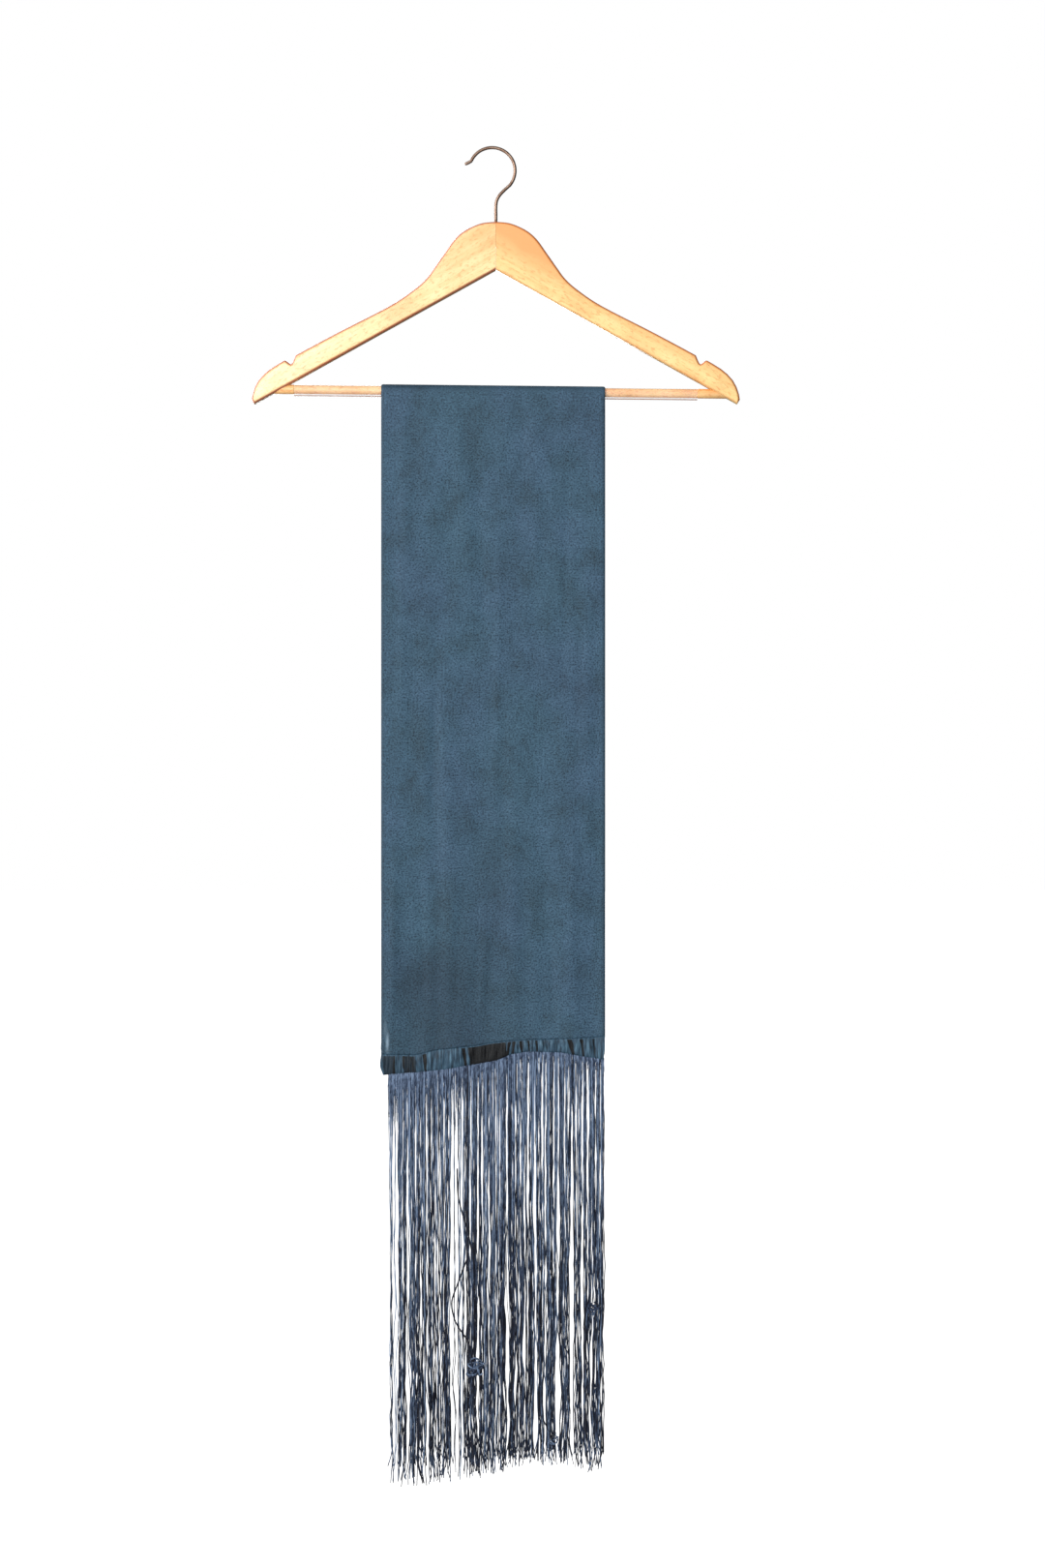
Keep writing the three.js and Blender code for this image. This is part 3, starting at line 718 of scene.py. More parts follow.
@dataclass
class Hanger:
    """Beech board in two halves, wire hook, and trouser bar in its clear sleeve."""

    board: float = 12.0
    rounding: float = 2.6
    apex_drop: float = 110.6
    wire: float = 3.0
    hook_radius: float = 21.0
    bar_length: float = 424.0
    dowel_radius: float = 4.0
    dowel_rise: float = 0.86  # the loose sleeve hangs from the dowel
    sleeve_length: float = 368.0
    sleeve_wall: float = 0.3
    seam: float = 0.08
    sharp: float = math.radians(50)  # edges turned by more than this stay crisp
    dowel_sharp: float = math.radians(40)
    tint: float = 0.9  # how much painted shade darkens a rounded edge
    faint_edge_shade: float = 0.35  # less along the right arm's lower edge, which faces the light

    # Upper outline as (out, drop): from the seam to the strap notch, and on to the tip
    inner_top: tuple = (
        (0.0, 66.8), (13.0, 68.2), (27.0, 74.2), (37.0, 82.4), (46.2, 95.0), (55.6, 108.4),
        (63.4, 118.9), (75.0, 129.2), (97.0, 143.8), (144.5, 168.2), (182.6, 188.6),
    )
    outer_top: tuple = (
        (184.2, 192.6), (185.8, 196.0), (186.9, 196.7), (188.0, 196.2), (191.6, 193.4),
        (193.0, 193.4), (198.5, 196.6), (205.4, 200.9), (211.4, 205.8), (216.4, 211.4),
        (219.8, 217.6), (222.0, 224.4), (222.7, 229.0), (220.4, 232.9),
    )

    # Middle line of the wire as (across, up): the lip at the mouth, the bow as (start and end in
    # degrees, points), and the neck down into the wood
    hook_lip: tuple = ((-24.9, -13.9), (-23.6, -13.2), (-22.2, -12.6), (-20.7, -11.8))
    hook_bow: tuple = (156, -40, 40)
    hook_neck: tuple = (
        (16.09, -33.0), (11.4, -37.2), (7.2, -41.6), (4.4, -46.4), (3.4, -52.0), (3.4, -60.0),
    )
    hook_foot: float = -88.0

    def build_arm(self, side: int) -> Object:
        """Model one arm of the board.

        Args:
            side: -1 for the left arm and 1 for the right one.

        Returns:
            The arm.
        """
        bm = bmesh.new()
        outline = [*smooth_line(self.inner_top, 5), *self.outer_top, (0.0, self.apex_drop)]
        front = -self.board / 2
        rim = [
            bm.verts.new(Vector((HANGER_X + side * max(out, self.seam), front, -drop)) * MM)
            for out, drop in outline
        ]
        grown = bmesh.ops.extrude_face_region(bm, geom=[bm.faces.new(rim)])
        moved = [item for item in grown["geom"] if isinstance(item, BMVert)]
        bmesh.ops.translate(bm, verts=moved, vec=(0, self.board * MM, 0))
        bmesh.ops.recalc_face_normals(bm, faces=bm.faces)
        seam_x = (HANGER_X + side * self.seam) * MM
        rims = [
            edge for edge in bm.edges
            if abs(edge.verts[0].co.y - edge.verts[1].co.y) < TINY
            and not all(abs(vert.co.x - seam_x) < TINY for vert in edge.verts)
        ]
        bmesh.ops.bevel(
            bm, geom=rims, offset=self.rounding * MM, offset_type="OFFSET", segments=5, profile=0.5,
            affect="EDGES", clamp_overlap=False, material=-1,
        )
        bmesh.ops.triangulate(bm, faces=[face for face in bm.faces if len(face.verts) > 4])
        self.paint_edge_shade(bm, side)
        word = "left" if side < 0 else "right"
        arm = new_piece(f"arm_{word}_board", bm)
        arm.data.set_sharp_from_angle(angle=self.sharp)
        arm.modifiers.new("even_shading", "WEIGHTED_NORMAL").keep_sharp = True
        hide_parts(f"hanger_arm_{word}")
        return arm

    def paint_edge_shade(self, bm: BMesh, side: int) -> None:
        """Mark where painted shade darkens the rounded edges.

        Args:
            bm: The arm, which gets the attribute "edge".
            side: -1 for the left arm and 1 for the right one.
        """
        edge = bm.verts.layers.float.new("edge")
        for vert in bm.verts:
            depth = self.board / 2 - abs(vert.co.y) / MM
            out = side * (vert.co.x / MM - HANGER_X)
            above = self.apex_drop + out * ARM_SLOPE + vert.co.z / MM
            deep = self.faint_edge_shade if side > 0 and above < self.rounding + 1.0 else self.tint
            rounded = 1 - smoothstep(depth, 0.69 * self.rounding, 0.98 * self.rounding)
            vert[edge] = deep * rounded * smoothstep(depth, 0.0, 0.16 * self.rounding)

    def hook_path(self) -> list[Vector]:
        """Lay the middle line of the wire, from the lip down into the wood.

        Returns:
            Its points, in metres.
        """
        centre = self.wire / 2 - self.hook_radius
        start, end, count = self.hook_bow
        angles = [math.radians(mix(start, end, step / (count - 1))) for step in range(count)]
        bow = [
            (self.hook_radius * math.cos(angle), centre + self.hook_radius * math.sin(angle))
            for angle in angles
        ]
        neck = smooth_line(self.hook_neck, 4)[4:]
        line = [*self.hook_lip, *bow, *neck, (HANGER_X, self.hook_foot)]
        return [Vector((x, 0, z)) * MM for x, z in line]

    def bar_place(self, rise: float) -> Matrix:
        """Place of the bar's axis: along X, dipping a little to the right, raised by rise mm."""
        turn = Matrix.Rotation(BAR_TILT, 4, "Y") @ Matrix.Rotation(math.pi / 2, 4, "Y")
        return Matrix.Translation((HANGER_X * MM, 0, (rise - BAR_DROP) * MM)) @ turn

    def build_bar(self) -> Object:
        """Turn the wooden dowel, a little fuller where it enters the arms.

        Returns:
            The dowel.
        """
        end = self.bar_length / 2
        neck = self.sleeve_length / 2 + 0.3
        full = self.dowel_radius + 0.35
        profile = (
            (full - 0.4, -end), (full, -end + 0.6), (full, -neck - 0.4), (self.dowel_radius, -neck),
            (self.dowel_radius, neck), (full, neck + 0.4), (full, end - 0.6), (full - 0.4, end),
        )
        bar = new_piece("bar_dowel", turned(profile, self.bar_place(self.dowel_rise), closed=False))
        bar.data.set_sharp_from_angle(angle=self.dowel_sharp)
        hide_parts("trouser_bar")
        return bar

    def build_sleeve(self) -> Object:
        """Turn the clear sleeve as a thin tube.

        Returns:
            The sleeve.
        """
        end = self.sleeve_length / 2
        outer, inner = BAR_RADIUS, BAR_RADIUS - self.sleeve_wall
        profile = ((inner, -end), (outer, -end), (outer, end), (inner, end), (inner, -end))
        bm = turned(profile, self.bar_place(0.0), closed=True)
        # mark the sleeve's lowest line for its painted wood brown
        low = bm.verts.layers.float.new("low")
        for vert in bm.verts:
            axis = BAR_DROP + BAR_TILT * (vert.co.x / MM - HANGER_X)
            vert[low] = smoothstep(-vert.co.z / MM - axis, 0.905 * inner, 0.95 * inner)
        sleeve = new_piece("sleeve_clear", bm)
        sleeve.data.set_sharp_from_angle(angle=self.sharp)
        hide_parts("bar_sleeve")
        return sleeve

    def build(self) -> list[Object]:
        """Build and dress the whole hanger.

        Returns:
            Its pieces.
        """
        slope = math.atan(ARM_SLOPE)
        left, right = self.build_arm(-1), self.build_arm(1)
        LacqueredBeech("lacquered_beech_left", Slot.BEECH, lean=slope).dress(left)
        # the right arm's beech is painted darker and more orange, with full painted shade along its
        # upper side, as shade away from the light on the left
        LacqueredBeech(
            "lacquered_beech_right_shaded", Slot.BEECH, lean=-slope, light="#F9DC96", mid="#F4C87E",
            dark="#E8B068", upper_shade=1.0, edge="#C8682C",
        ).dress(right)
        hook = new_piece("hook_wire", swept(self.hook_path(), self.wire / 2 * MM, 20))
        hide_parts("hanger_hook")
        NickelWire("drawn_nickel", Slot.NICKEL).dress(hook)
        bar = self.build_bar()
        LacqueredBeech(
            "lacquered_beech_bar", Slot.BEECH, light="#FFD596", mid="#F8BE78", dark="#E8A25E",
        ).dress(bar)
        sleeve = self.build_sleeve()
        ClearVinyl("soft_clear_vinyl", Slot.VINYL).dress(sleeve)
        return [left, right, hook, bar, sleeve]


def ring_place(point: Vector, direction: Vector, scale: float) -> Matrix:
    """Work out the place of a ring, square to a direction in the XZ plane.

    Args:
        point: Its middle.
        direction: The way it faces.
        scale: Its size.

    Returns:
        Its matrix.
    """
    across = Vector((0, 1, 0))
    side = across.cross(direction).normalized()
    turn = Matrix((side, across, direction)).transposed().to_4x4()
    return Matrix.Translation(point) @ turn @ Matrix.Scale(scale, 4)


def swept(path: Sequence[Vector], radius: float, sides: int) -> BMesh:
    """Extrude a ring along a path in the XZ plane, its first end rounded.

    Args:
        path: Points of the middle line, in metres.
        radius: Radius of the ring.
        sides: How many sides the ring has.

    Returns:
        The new bmesh.
    """
    last = len(path) - 1
    ways = [(path[min(at + 1, last)] - path[max(at - 1, 0)]).normalized() for at in range(last + 1)]
    before = ring_place(path[0], ways[0], 0.55)
    bm = bmesh.new()
    bmesh.ops.create_circle(bm, cap_ends=True, segments=sides, radius=radius, matrix=before)
    edges = list(bm.edges)
    places = [ring_place(path[0] + ways[0] * radius * 0.3, ways[0], 0.86)]
    places += [ring_place(point, way, 1.0) for point, way in zip(path[1:], ways[1:])]
    for place in places:
        grown = bmesh.ops.extrude_edge_only(bm, edges=edges)["geom"]
        ring = [item for item in grown if isinstance(item, BMVert)]
        edges = [item for item in grown if isinstance(item, BMEdge)]
        bmesh.ops.transform(bm, matrix=place @ before.inverted(), verts=ring)
        before = place
    bmesh.ops.contextual_create(bm, geom=edges)
    bmesh.ops.recalc_face_normals(bm, faces=bm.faces)
    return bm


def turned(profile: Sequence[tuple], place: Matrix, closed: bool) -> BMesh:
    """Spin a profile into a round piece.

    Args:
        profile: (radius, along) pairs in millimetres.
        place: Matrix that takes the turning axis, Z, to its place.
        closed: Whether the profile closes on itself; if not, its ends are capped.

    Returns:
        The new bmesh.
    """
    bm = bmesh.new()
    verts = [bm.verts.new((radius * MM, 0, along * MM)) for radius, along in profile]
    edges = [bm.edges.new(pair) for pair in zip(verts, verts[1:])]
    bmesh.ops.spin(
        bm, geom=[*verts, *edges], cent=(0, 0, 0), axis=(0, 0, 1), angle=FULL_TURN, steps=48,
        use_merge=True,
    )
    bmesh.ops.remove_doubles(bm, verts=bm.verts, dist=TINY)
    if not closed:
        bmesh.ops.holes_fill(bm, edges=[edge for edge in bm.edges if edge.is_boundary], sides=0)
    bmesh.ops.recalc_face_normals(bm, faces=bm.faces)
    bmesh.ops.transform(bm, matrix=place, verts=bm.verts)
    return bm


# ---------- scarf cloth

def hung_out(side: Side, across: float, drop: float, share: float) -> float:
    """How far out the hung cloth lies.

    Args:
        side: Which half of the scarf.
        across: Place across.
        drop: Drop below the origin.
        share: Share of the way from the bar to the hem.

    Returns:
        Distance from the hanger's middle, in millimetres.
    """
    out = CLOTH_RADIUS
    for at, width, height, start in FOLDS[side]:
        out += FOLD_DEPTH * height * smoothstep(share, start, 1) * hump(across - at, width)
    for top_at, foot_at, top, foot, width, height in CREASES[side]:
        along = (drop - top) / (foot - top)
        if -0.1 < along < 1.1:
            fade = smoothstep(along, -0.1, 0.3) * (1 - smoothstep(along, 0.7, 1.1))
            out += height * fade * hump(across - mix(top_at, foot_at, along), width)
    ripples = sum(
        depth * wander(across / wide, drop / long, side.value * row)
        for depth, wide, long, row in RIPPLES
    )
    return out + smoothstep(share, 0.0, TOP_SHARE) * ripples


def cloth_grid(columns: int, rows: int, size: tuple, names: Sequence[str]) -> tuple:
    """Make a flat grid whose UV map is its place on the flat cloth, in metres.

    Args:
        columns: Faces across.
        rows: Faces along.
        size: Width and length of the flat cloth, in metres.
        names: Names of vertex attributes to add.

    Returns:
        The bmesh, the attributes' layers, and each vertex's (column, row) by its index.
    """
    bm = bmesh.new()
    chart = bm.loops.layers.uv.new("UVMap")
    for name in names:
        bm.verts.layers.float.new(name)
    layers = [bm.verts.layers.float[name] for name in names]
    bmesh.ops.create_grid(bm, x_segments=columns, y_segments=rows, size=1.0, calc_uvs=False)
    bm.verts.index_update()
    seats = [
        (round((vert.co.x + 1) / 2 * columns), round((vert.co.y + 1) / 2 * rows))
        for vert in bm.verts
    ]
    for face in bm.faces:
        for loop in face.loops:
            column, row = seats[loop.vert.index]
            loop[chart].uv = (column / columns * size[0], row / rows * size[1])
    return bm, layers, seats


@dataclass
class ScarfCloth:
    """One length of doubled crepe hung over the bar, its side edges rolled in."""

    flat: tuple = (0.2105, 1.232)
    thickness: float = 0.7
    flat_columns: int = 98
    roll_columns: int = 6
    roll_radius: float = 1.3
    roll_length: float = 3.4
    hang_rows: int = 176
    turn_rows: int = 16
    darkest: float = 0.92

    def columns(self) -> list[float]:
        """Lay out the grid's columns; below 0 and past the width lie the rolled edges.

        Returns:
            Places across, as arc length.
        """
        step = self.roll_length / self.roll_columns
        left = [-self.roll_length + step * at for at in range(self.roll_columns)]
        inner = [CLOTH_WIDTH * at / self.flat_columns for at in range(self.flat_columns + 1)]
        right = [CLOTH_WIDTH + step * (at + 1) for at in range(self.roll_columns)]
        return [*left, *inner, *right]

    def roll(self, place: float) -> tuple[float, float]:
        """Where a place lies once the edges are rolled in.

        Args:
            place: Arc length across, as columns() gives it.

        Returns:
            The place across, and how far in towards the bar it lies.
        """
        radius = self.roll_radius
        past = max(-place, place - CLOTH_WIDTH, 0.0) / radius
        inner = min(max(place, 0.0), CLOTH_WIDTH)
        across = radius + inner / CLOTH_WIDTH * (CLOTH_WIDTH - 2 * radius)
        reach = radius * math.sin(past) * (-1 if place < 0 else 1)
        return across + reach, radius * (1 - math.cos(past))

    def hang(self, row: int) -> tuple[Side | None, float]:
        """Say where a row hangs.

        Args:
            row: Row from the front's foot, over the bar, to the back's foot.

        Returns:
            Its half of the scarf and its share of the way down from the bar; for a row over
            the bar, None and its share of the turn.
        """
        last_turn = self.hang_rows + self.turn_rows
        if self.hang_rows <= row <= last_turn:
            return None, (row - self.hang_rows) / self.turn_rows
        side = Side.FRONT if row < self.hang_rows else Side.BACK
        return side, max(self.hang_rows - row, row - last_turn) / self.hang_rows

    def point(self, row: int, place: float) -> Vector:
        """Find a point of the sheet.

        Args:
            row: Row from the front's foot, over the bar, to the back's foot.
            place: Arc length across.

        Returns:
            The point, in metres.
        """
        across, inwards = self.roll(place)
        axis = bar_drop(across)
        side, share = self.hang(row)
        if side is None:
            angle = math.pi * share
            radius = CLOTH_RADIUS - min(inwards, 0.5)
            height = radius * math.sin(angle)
            return at_scarf(Side.FRONT, across, radius * math.cos(angle), axis - height)
        drop = mix(axis, table_value(HEMS[side], across, 1), share)
        hung = smoothstep(share, 0.0, TOP_SHARE)
        out = hung_out(side, across, drop, share) - min(inwards, 0.5 + 3.0 * hung)
        return at_scarf(side, across, out, drop)

    def tone(self, row: int, place: float) -> float:
        """Say how much painted shade a place gets: low on the left, along the bar, at the sides, in
        a crease.

        Args:
            row: Row from the front's foot, over the bar, to the back's foot.
            place: Arc length across.

        Returns:
            0 for plain cloth and 1 for the darkest.
        """
        across = min(max(place, 0.0), CLOTH_WIDTH)
        edge = hump(min(across, CLOTH_WIDTH - across), 1.2) * 0.45
        side, share = self.hang(row)
        if side is None:
            return hump(share - 0.42, 0.3) * mix(1.0, 0.35, smoothstep(across, 20, 150))
        if side is Side.BACK:
            across = CLOTH_WIDTH - across
        blur = 9 * wander(across / 28, share * 14, 2.2)
        low = hump(across - 60 + blur, 60) * smoothstep(share + blur / 400, 0.79, 0.91) * 0.66
        places = sum(
            hump(across - at + blur * rag, width) * hump(share - level + blur * rise, height) * much
            for at, width, rag, level, height, rise, much in SHADED_PLACES
        )
        return min(low + places + edge, self.darkest)

    def glint(self, row: int, place: float) -> float:
        """Say where the rolled edge catches the light, low on the left of the front.

        Args:
            row: Row from the front's foot, over the bar, to the back's foot.
            place: Arc length across.

        Returns:
            0 for none and 1 for the brightest.
        """
        side, share = self.hang(row)
        streak = hump(place - 3.4 - 60 * (share - 0.97), 0.9) * hump(share - 0.975, 0.018)
        return 0.7 * streak if side is Side.FRONT else 0.0

    def build(self) -> Object:
        """Model the sheet from a grid and hang it.

        Returns:
            The cloth.
        """
        places = self.columns()
        rows = 2 * self.hang_rows + self.turn_rows
        bm, (tones, glints), seats = cloth_grid(
            len(places) - 1, rows, self.flat, ("tone", "glint"))
        for vert in bm.verts:
            column, row = seats[vert.index]
            vert[tones] = self.tone(row, places[column])
            vert[glints] = self.glint(row, places[column])
            vert.co = self.point(row, places[column])
        cloth = new_piece("scarf_crepe", bm)
        solidify(cloth, self.thickness)
        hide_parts("scarf_cloth")
        BlueCrepe("slate_blue_crepe", Slot.CREPE).dress(cloth)
        return cloth

    def declare(self, cloth: Object, others: list[Object]) -> None:
        """Do nothing; nothing is stated here."""


# ---------- hem bands

@dataclass
class HemBand:
    """Gathered satin band sewn over the scarf's end."""

    side: Side
    flat: tuple = (0.26, 0.019)
    columns: int = 420
    rows: int = 20
    thickness: float = 0.5
    swell: float = 1.4
    overlap: float = 1.6
    stand: float = 0.85

    def gathers(self) -> list[tuple[float, float, float]]:
        """List the gathers.

        Returns:
            (across, half width, depth) of each.
        """
        if self.side is Side.FRONT:
            return list(FRONT_GATHERS)
        pitch = CLOTH_WIDTH / BACK_GATHERS
        return [
            (pitch * (at + 0.5 + 0.2 * math.sin(2.3 * at)), 3.1 + 0.6 * math.sin(1.7 * at + 1),
             1.3 + 0.5 * math.sin(2.9 * at))
            for at in range(BACK_GATHERS)
        ]

    def stretches(self) -> list[tuple[float, float, float, float]]:
        """List where the near-black painted shade lies.

        Returns:
            (from, to, slant, strength) of each stretch.
        """
        if self.side is Side.FRONT:
            return list(FRONT_GATHER_SHADE)
        return [
            (at - 0.7 * width, at + 0.6 * width, 1.4 * math.sin(at), 0.72 + 0.2 * math.sin(3 * at))
            for at, width, _ in self.gathers()
        ]

    def gather_shade(self, across: float, share: float) -> float:
        """How much near-black painted shade a place gets, from 0 to 1.

        Args:
            across: Place across.
            share: Share of the band's height, from its top.

        Returns:
            0 for satin and 1 for full painted shade.
        """
        total = 0.0
        for start, end, slant, strength in self.stretches():
            middle = (start + end) / 2 + slant * (share - 0.4)
            half = (end - start) / 2 * (1 - 0.5 * share if end - start < 6 else 1.0)
            rag = 0.8 * wander(across / 2.2, share * 3.0, 6.0)
            total += strength * (1 - smoothstep(abs(across - middle) + rag, half - 0.6, half + 0.5))
        return min(total, 1.0) * smoothstep(share, 0.01, 0.10)

    def point(self, across: float, share: float) -> Vector:
        """Find a point of the band.

        Args:
            across: Place across.
            share: Share of the band's height, from its top.

        Returns:
            The point, in metres.
        """
        hem = HEMS[self.side]
        foot = table_value(hem, across, 1)
        drop = mix(foot - self.overlap, table_value(hem, across, 2), share)
        belly = math.sin(math.pi * min(share * 1.05, 1.0)) ** 0.8
        pressed = sum(depth * hump(across - at, width) for at, width, depth in self.gathers())
        wrinkle = wander(across / 1.5, drop / 14, 3.0 * self.side.value)
        fine = wander(across / 0.8, drop / 6, 7.0)
        out = mix(hung_out(self.side, across, foot, 1.0), CLOTH_RADIUS, share) + self.stand
        out += (self.swell - 0.8 * pressed) * belly
        out += (0.55 * wrinkle + 0.22 * fine) * (0.25 + belly)
        out -= smoothstep(share, 0.88, 1.0) * 0.9
        corner = hump(across, 2.4) - hump(across - CLOTH_WIDTH, 2.0)
        corner *= smoothstep(share, 0.55, 1.0)
        bulge = -1.1 * math.sin(math.pi * share) * hump(across, 3.0)
        return at_scarf(self.side, across + 1.4 * corner + bulge, out, drop)

    def build(self) -> Object:
        """Model the band from a grid.

        Returns:
            The band.
        """
        bm, (black,), seats = cloth_grid(self.columns, self.rows, self.flat, ("gather_shade",))
        for vert in bm.verts:
            column, row = seats[vert.index]
            across, share = CLOTH_WIDTH * column / self.columns, row / self.rows
            vert[black] = self.gather_shade(across, share)
            vert.co = self.point(across, share)
        if self.side is Side.FRONT:
            bmesh.ops.reverse_faces(bm, faces=bm.faces)
        name = "band_" + self.side.name.lower()
        band = new_piece(name, bm)
        solidify(band, self.thickness)
        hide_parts("hem_" + name)
        BlueSatin("gathered_blue_satin", Slot.SATIN).dress(band)
        return band

    def declare(self, band: Object, cloth: Object) -> None:
        """Do nothing; nothing is stated here."""


# ---------- fringe

@dataclass
class Strand:
    """One thread: its points in metres, with a radius and a tone from 0 to 1 for each."""

    points: list[Vector]
    radii: list[float]
    tones: list[float]


def strands_piece(name: str, strands: Sequence[Strand], *nodes: str) -> Object:
    """Make one piece of many threads, by way of a bevelled curve, four sides to a thread.

    Args:
        name: The piece's name.
        strands: The threads.
        nodes: Solids of the frame that it stands for.

    Returns:
        The piece, with each thread's tones as an attribute.
    """
    curve = bpy.data.curves.new(name, "CURVE")
    curve.dimensions = "3D"
    curve.bevel_depth = 1.0
    curve.bevel_resolution = 0
    for strand in strands:
        spline = curve.splines.new("POLY")
        spline.points.add(len(strand.points) - 1)
        for seat, point, radius in zip(spline.points, strand.points, strand.radii):
            seat.co = (*point, 1.0)
            seat.radius = radius
    holder = bpy.data.objects.new(name + "_path", curve)
    bpy.context.scene.collection.objects.link(holder)
    graph = bpy.context.evaluated_depsgraph_get()
    mesh = bpy.data.meshes.new_from_object(holder.evaluated_get(graph))
    bpy.data.objects.remove(holder)
    bpy.data.curves.remove(curve)
    sides = len(mesh.vertices) // sum(len(strand.points) for strand in strands)
    tones = [tone for strand in strands for tone in strand.tones for _ in range(sides)]
    mesh.attributes.new("tone", "FLOAT", "POINT").data.foreach_set("value", tones)
    mesh.materials.clear()
    bm = bmesh.new()
    bm.from_mesh(mesh)
    bpy.data.meshes.remove(mesh)
    bmesh.ops.holes_fill(bm, edges=[edge for edge in bm.edges if edge.is_boundary], sides=4)
    piece = new_piece(name, bm)
    if nodes:
        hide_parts(*nodes)
    TwistedThread("indigo_twisted_thread", Slot.THREAD).dress(piece)
    return piece


@dataclass
class Fringe:
    """Long threads that leave the band in small groups; most gather into locks."""

    side: Side
    length: float = 374.0
    uneven: tuple = (-6.5, 3.0)  # how far an end falls short of that or passes it
    cut_share: float = 0.12  # share of the threads that are cut shorter
    cut: tuple = (4, 16)
    radius: float = 0.39
    stations: int = 42
    root_depth: float = 2.0
    group: float = 3.5  # width of a group of roots
    gather: tuple = (0.04, 0.75)  # shares of the length between which the locks gather
    loosen: tuple = (0.10, 0.75)  # and between which the threads come loose
    single: float = 0.28  # share of the threads that hang apart from their lock
    bowed: float = 0.28  # share of the threads that bow out of their lock somewhere
    hook: float = 5.0  # how far the last ends turn aside
    layers: float = 2.0  # how far in front of or behind the middle a thread lies
    tones: tuple = (0.47, 0.30)  # mean and spread of the threads' tones
    fade: tuple = (0.36, -0.15)  # added to them at the root and low down
    streak: float = 0.45  # painted light and shade, in streaks that neighbours share
    hairs: int = 1150
    hair_radius: float = 0.29
    hair_stations: int = 7
    hair_length: tuple = (5, 14)
    hair_left: tuple = (2, 24)  # added towards the left
    hair_long_share: float = 0.3  # share of the frayed ends that are longer
    hair_long: tuple = (8, 52)

    # Waves of a thread all along, of a thread where it is loose, and of a whole lock:
    # (size, rate, row of the noise)
    crimp: tuple = ((0.9, 9, 0.3), (0.7, 38, 5.7))
    slack: tuple = ((0.9, 14, 4.3), (0.6, 26, 9.1))
    sway: tuple = ((2.6, 4, 2.0), (2.0, 12, 6.0))

    def locks(self) -> list[tuple[float, float, int]]:
        """List the locks.

        Returns:
            (across, width, threads) of each.
        """
        if self.side is Side.FRONT:
            return list(LOCKS)
        return [(at + 0.9 * math.sin(2.4 * at), width * 0.9, count) for at, width, count in LOCKS]

    def thread(
        self, rng: random.Random, root: float, lock: tuple, number: int, seat: float,
    ) -> Strand:
        """Work out one long thread.

        Args:
            rng: Random source.
            root: Where it leaves the band, across.
            lock: (across, width, threads) of its lock.
            number: The lock's number.
            seat: Its place in the lock, from -0.5 to 0.5.

        Returns:
            The thread.
        """
        at, width, _ = lock
        seed = rng.uniform(0, 900)
        length = self.length + rng.uniform(*self.uneven)
        length -= (rng.random() < self.cut_share) * rng.uniform(*self.cut)
        hook = rng.choice((-1, 1)) * rng.random() ** 2 * self.hook
        bow = rng.choice((-1, 1)) * rng.uniform(1.5, 2.4 + width / 2)
        bow *= rng.random() < self.bowed
        bow_at, bow_long = rng.uniform(0.25, 0.95), rng.uniform(0.06, 0.2)
        layer = rng.uniform(-self.layers, self.layers)
        shade = rng.gauss(*self.tones)
        apart = rng.uniform(0.35, 0.95) if rng.random() < self.single else rng.uniform(0.0, 0.1)
        foot = table_value(HEMS[self.side], at, 2)
        start = table_value(HEMS[self.side], root, 2)
        strand = Strand([], [], [])
        for step in range(self.stations):
            share = step / (self.stations - 1)
            gathered = smoothstep(share, *self.gather) * (1 - apart)
            loose = smoothstep(share, *self.loosen) * (1 + 0.5 * apart)
            wave = smoothstep(share, 0.0, 0.08) * waves(seed, share, self.crimp)
            wave += loose * waves(seed, share, self.slack)
            sway = smoothstep(share, 0.05, 0.5) * waves(number * 3.1, share, self.sway)
            close = 0.95 + 0.35 * wander(number * 1.7, share * 5, 7.0)
            splay = 1.0 + 0.2 * smoothstep(share, 0.9, 1.0)
            inside = (width + 1.0) * seat * close * splay + bow * hump(share - bow_at, bow_long)
            across = mix(root, at + sway + inside, gathered) + wave
            across += hook * smoothstep(share, 0.94, 1.0) ** 2
            drop = mix(start - self.root_depth, mix(start, foot, 0.7) + length, share)
            depth = layer + 1.3 * wander(seed, share * 8, 8.8)
            out = CLOTH_RADIUS + depth * smoothstep(share, 0, 0.1)
            kept = min(max(across, -0.6), CLOTH_WIDTH + 0.4)
            strand.points.append(at_scarf(self.side, kept, out, drop))
            thick = mix(1.22, 1.06, smoothstep(share, 0, 0.5))
            thick += 0.12 * wander(seed, share * 40, 3.3)
            thick += 0.2 * apart * smoothstep(share, 0.1, 0.5)
            strand.radii.append(self.radius * MM * thick)
            fade = mix(*self.fade, smoothstep(share, 0.0, 0.75))
            # painted light and shade, in streaks that neighbours share
            streak = self.streak * wander(across / 2.4, drop / 30, 3.0 * self.side.value)
            tone = shade + fade + streak - 0.18 * apart + 0.2 * wander(seed, share * 12, 1.5)
            strand.tones.append(min(max(tone, 0.0), 1.0))
        return strand

